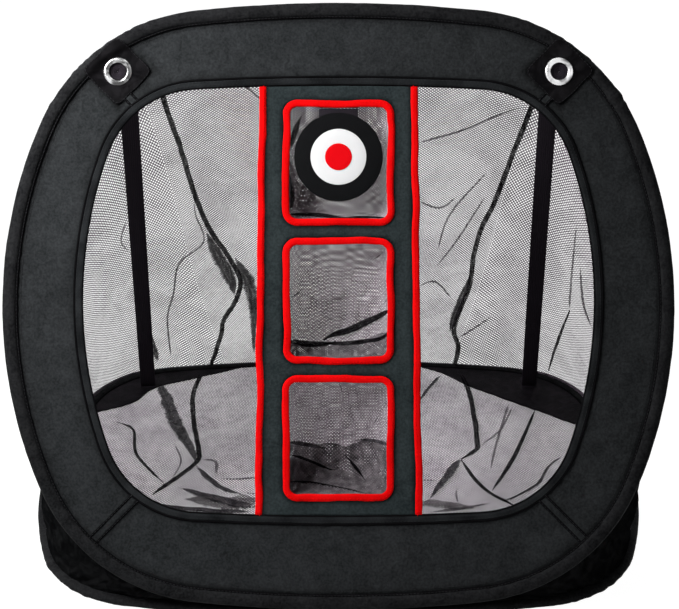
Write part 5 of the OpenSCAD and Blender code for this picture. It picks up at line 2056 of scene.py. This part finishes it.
@dataclass
class Studio:
    """Pale floor, soft lamps and the camera square to the leaning face."""

    camera_distance: float = 1.5
    focal_px: float = 1551.0
    frame_px: tuple[int, int] = (679, 609)
    sensor: float = 36.0
    aim_offset: tuple[float, float] = (0.00097, 0.00174)
    floor_reach: float = 6.0
    surround: tuple[float, float] = (0.09, 1.0)

    def _aimed(self, name: str, data: bpy.types.ID, place: tuple, aim: tuple) -> Piece:
        """Adds a camera or a lamp that looks at a point."""
        made = add_object(name, data)
        made.location = place
        made.rotation_mode = "QUATERNION"
        made.rotation_quaternion = (Vector(aim) - Vector(place)).to_track_quat("-Z", "Y")
        return made

    def camera(self) -> None:
        """Sets the camera in front of the face, looking square at it."""
        data = bpy.data.cameras.new("camera")
        data.sensor_width = self.sensor
        data.lens = self.focal_px / self.frame_px[0] * self.sensor
        data.clip_start, data.clip_end = 0.05, 50
        bpy.context.scene.camera = self._aimed(
            "camera", data, FACE.origin + self.camera_distance * FACE.out,
            FACE.lay(self.aim_offset))

    def lamps(self) -> None:
        """Adds a key lamp at the upper left, a fill at the right and one behind."""
        key = FACE.lay([-0.6, 0.5], 0.45)
        for name, place, aim, size, power in (
                ("key", key, FACE.origin, 0.45, 16.5),
                ("fill", (1.6, -1.4, 1.0), FACE.origin, 1.2, 1.2),
                ("top", (0.1, 0.9, 2.2), (0.0, 0.1, 0.1), 1.6, 9.0)):
            data = bpy.data.lights.new(name, "AREA")
            data.shape, data.size, data.energy = "SQUARE", size, power
            self._aimed(name, data, place, aim)

    def floor(self) -> None:
        """Adds the pale floor, which keeps a light shadow."""
        mesh = bpy.data.meshes.new("studio_floor")
        corners = ((-1, -1), (1, -1), (1, 1), (-1, 1))
        mesh.from_pydata([(x * self.floor_reach, y * self.floor_reach, 0)
                          for x, y in corners], [], [(0, 1, 2, 3)])
        shader = Shader(bpy.data.materials.new("studio_floor"))
        shader.dress(Base_Color=(0.9, 0.9, 0.9, 1.0), Roughness=0.9, Specular_IOR_Level=0.0)
        glow = shader.node("ShaderNodeEmission", {"Color": (1, 1, 1, 1), "Strength": 1.2})
        both = shader.node("ShaderNodeMixShader", {
            0: shader.seen() * 0.82, 1: shader.surface.outputs[0], 2: glow[0]})
        shader.set(shader.nodes["Material Output"].inputs["Surface"], both[0])
        mesh.materials.append(shader.owner)
        add_object("studio_floor", mesh)

    def world(self) -> None:
        """Sets a white surround that lights the net softly."""
        world = bpy.data.worlds.new("studio")
        bpy.context.scene.world = world
        shader = Shader(world)
        shader.nodes.clear()
        soft, bright = (shader.node("ShaderNodeBackground", {
            "Color": (1, 1, 1, 1), "Strength": strength})[0] for strength in self.surround)
        both = shader.node("ShaderNodeMixShader", {0: shader.seen(), 1: soft, 2: bright})
        shader.node("ShaderNodeOutputWorld", {"Surface": both[0]})

    def build(self) -> None:
        """Builds the studio."""
        bpy.context.scene.view_settings.view_transform = "Standard"
        self.camera()
        self.lamps()
        self.floor()
        self.world()


def main() -> None:
    """Builds every sub-assembly, then the studio."""
    logging.basicConfig(level=logging.INFO, format="%(name)s: %(message)s")
    shop = Workshop({key: finish.make() for key, finish in FINISHES.items()}, StitchRows())
    dress_metal(shop.finish)
    HoopHem(shop, "base_hem", SIZES.base, GROUND, BASE, 2.0, pucker=0.0006,
            puckered=(-1.0, -0.1), slim_rear=0.53).build()
    HoopHem(shop, "front_hem", SIZES.face, FACE, FRONT, 5.0, puckered=(0.45, 0.92)).build()
    for part in (FaceCloth, TargetBand, Bullseye, HangingNets, RearCorners):
        part(shop).build()
    Studio().build()


if __name__ == "__main__":
    main()
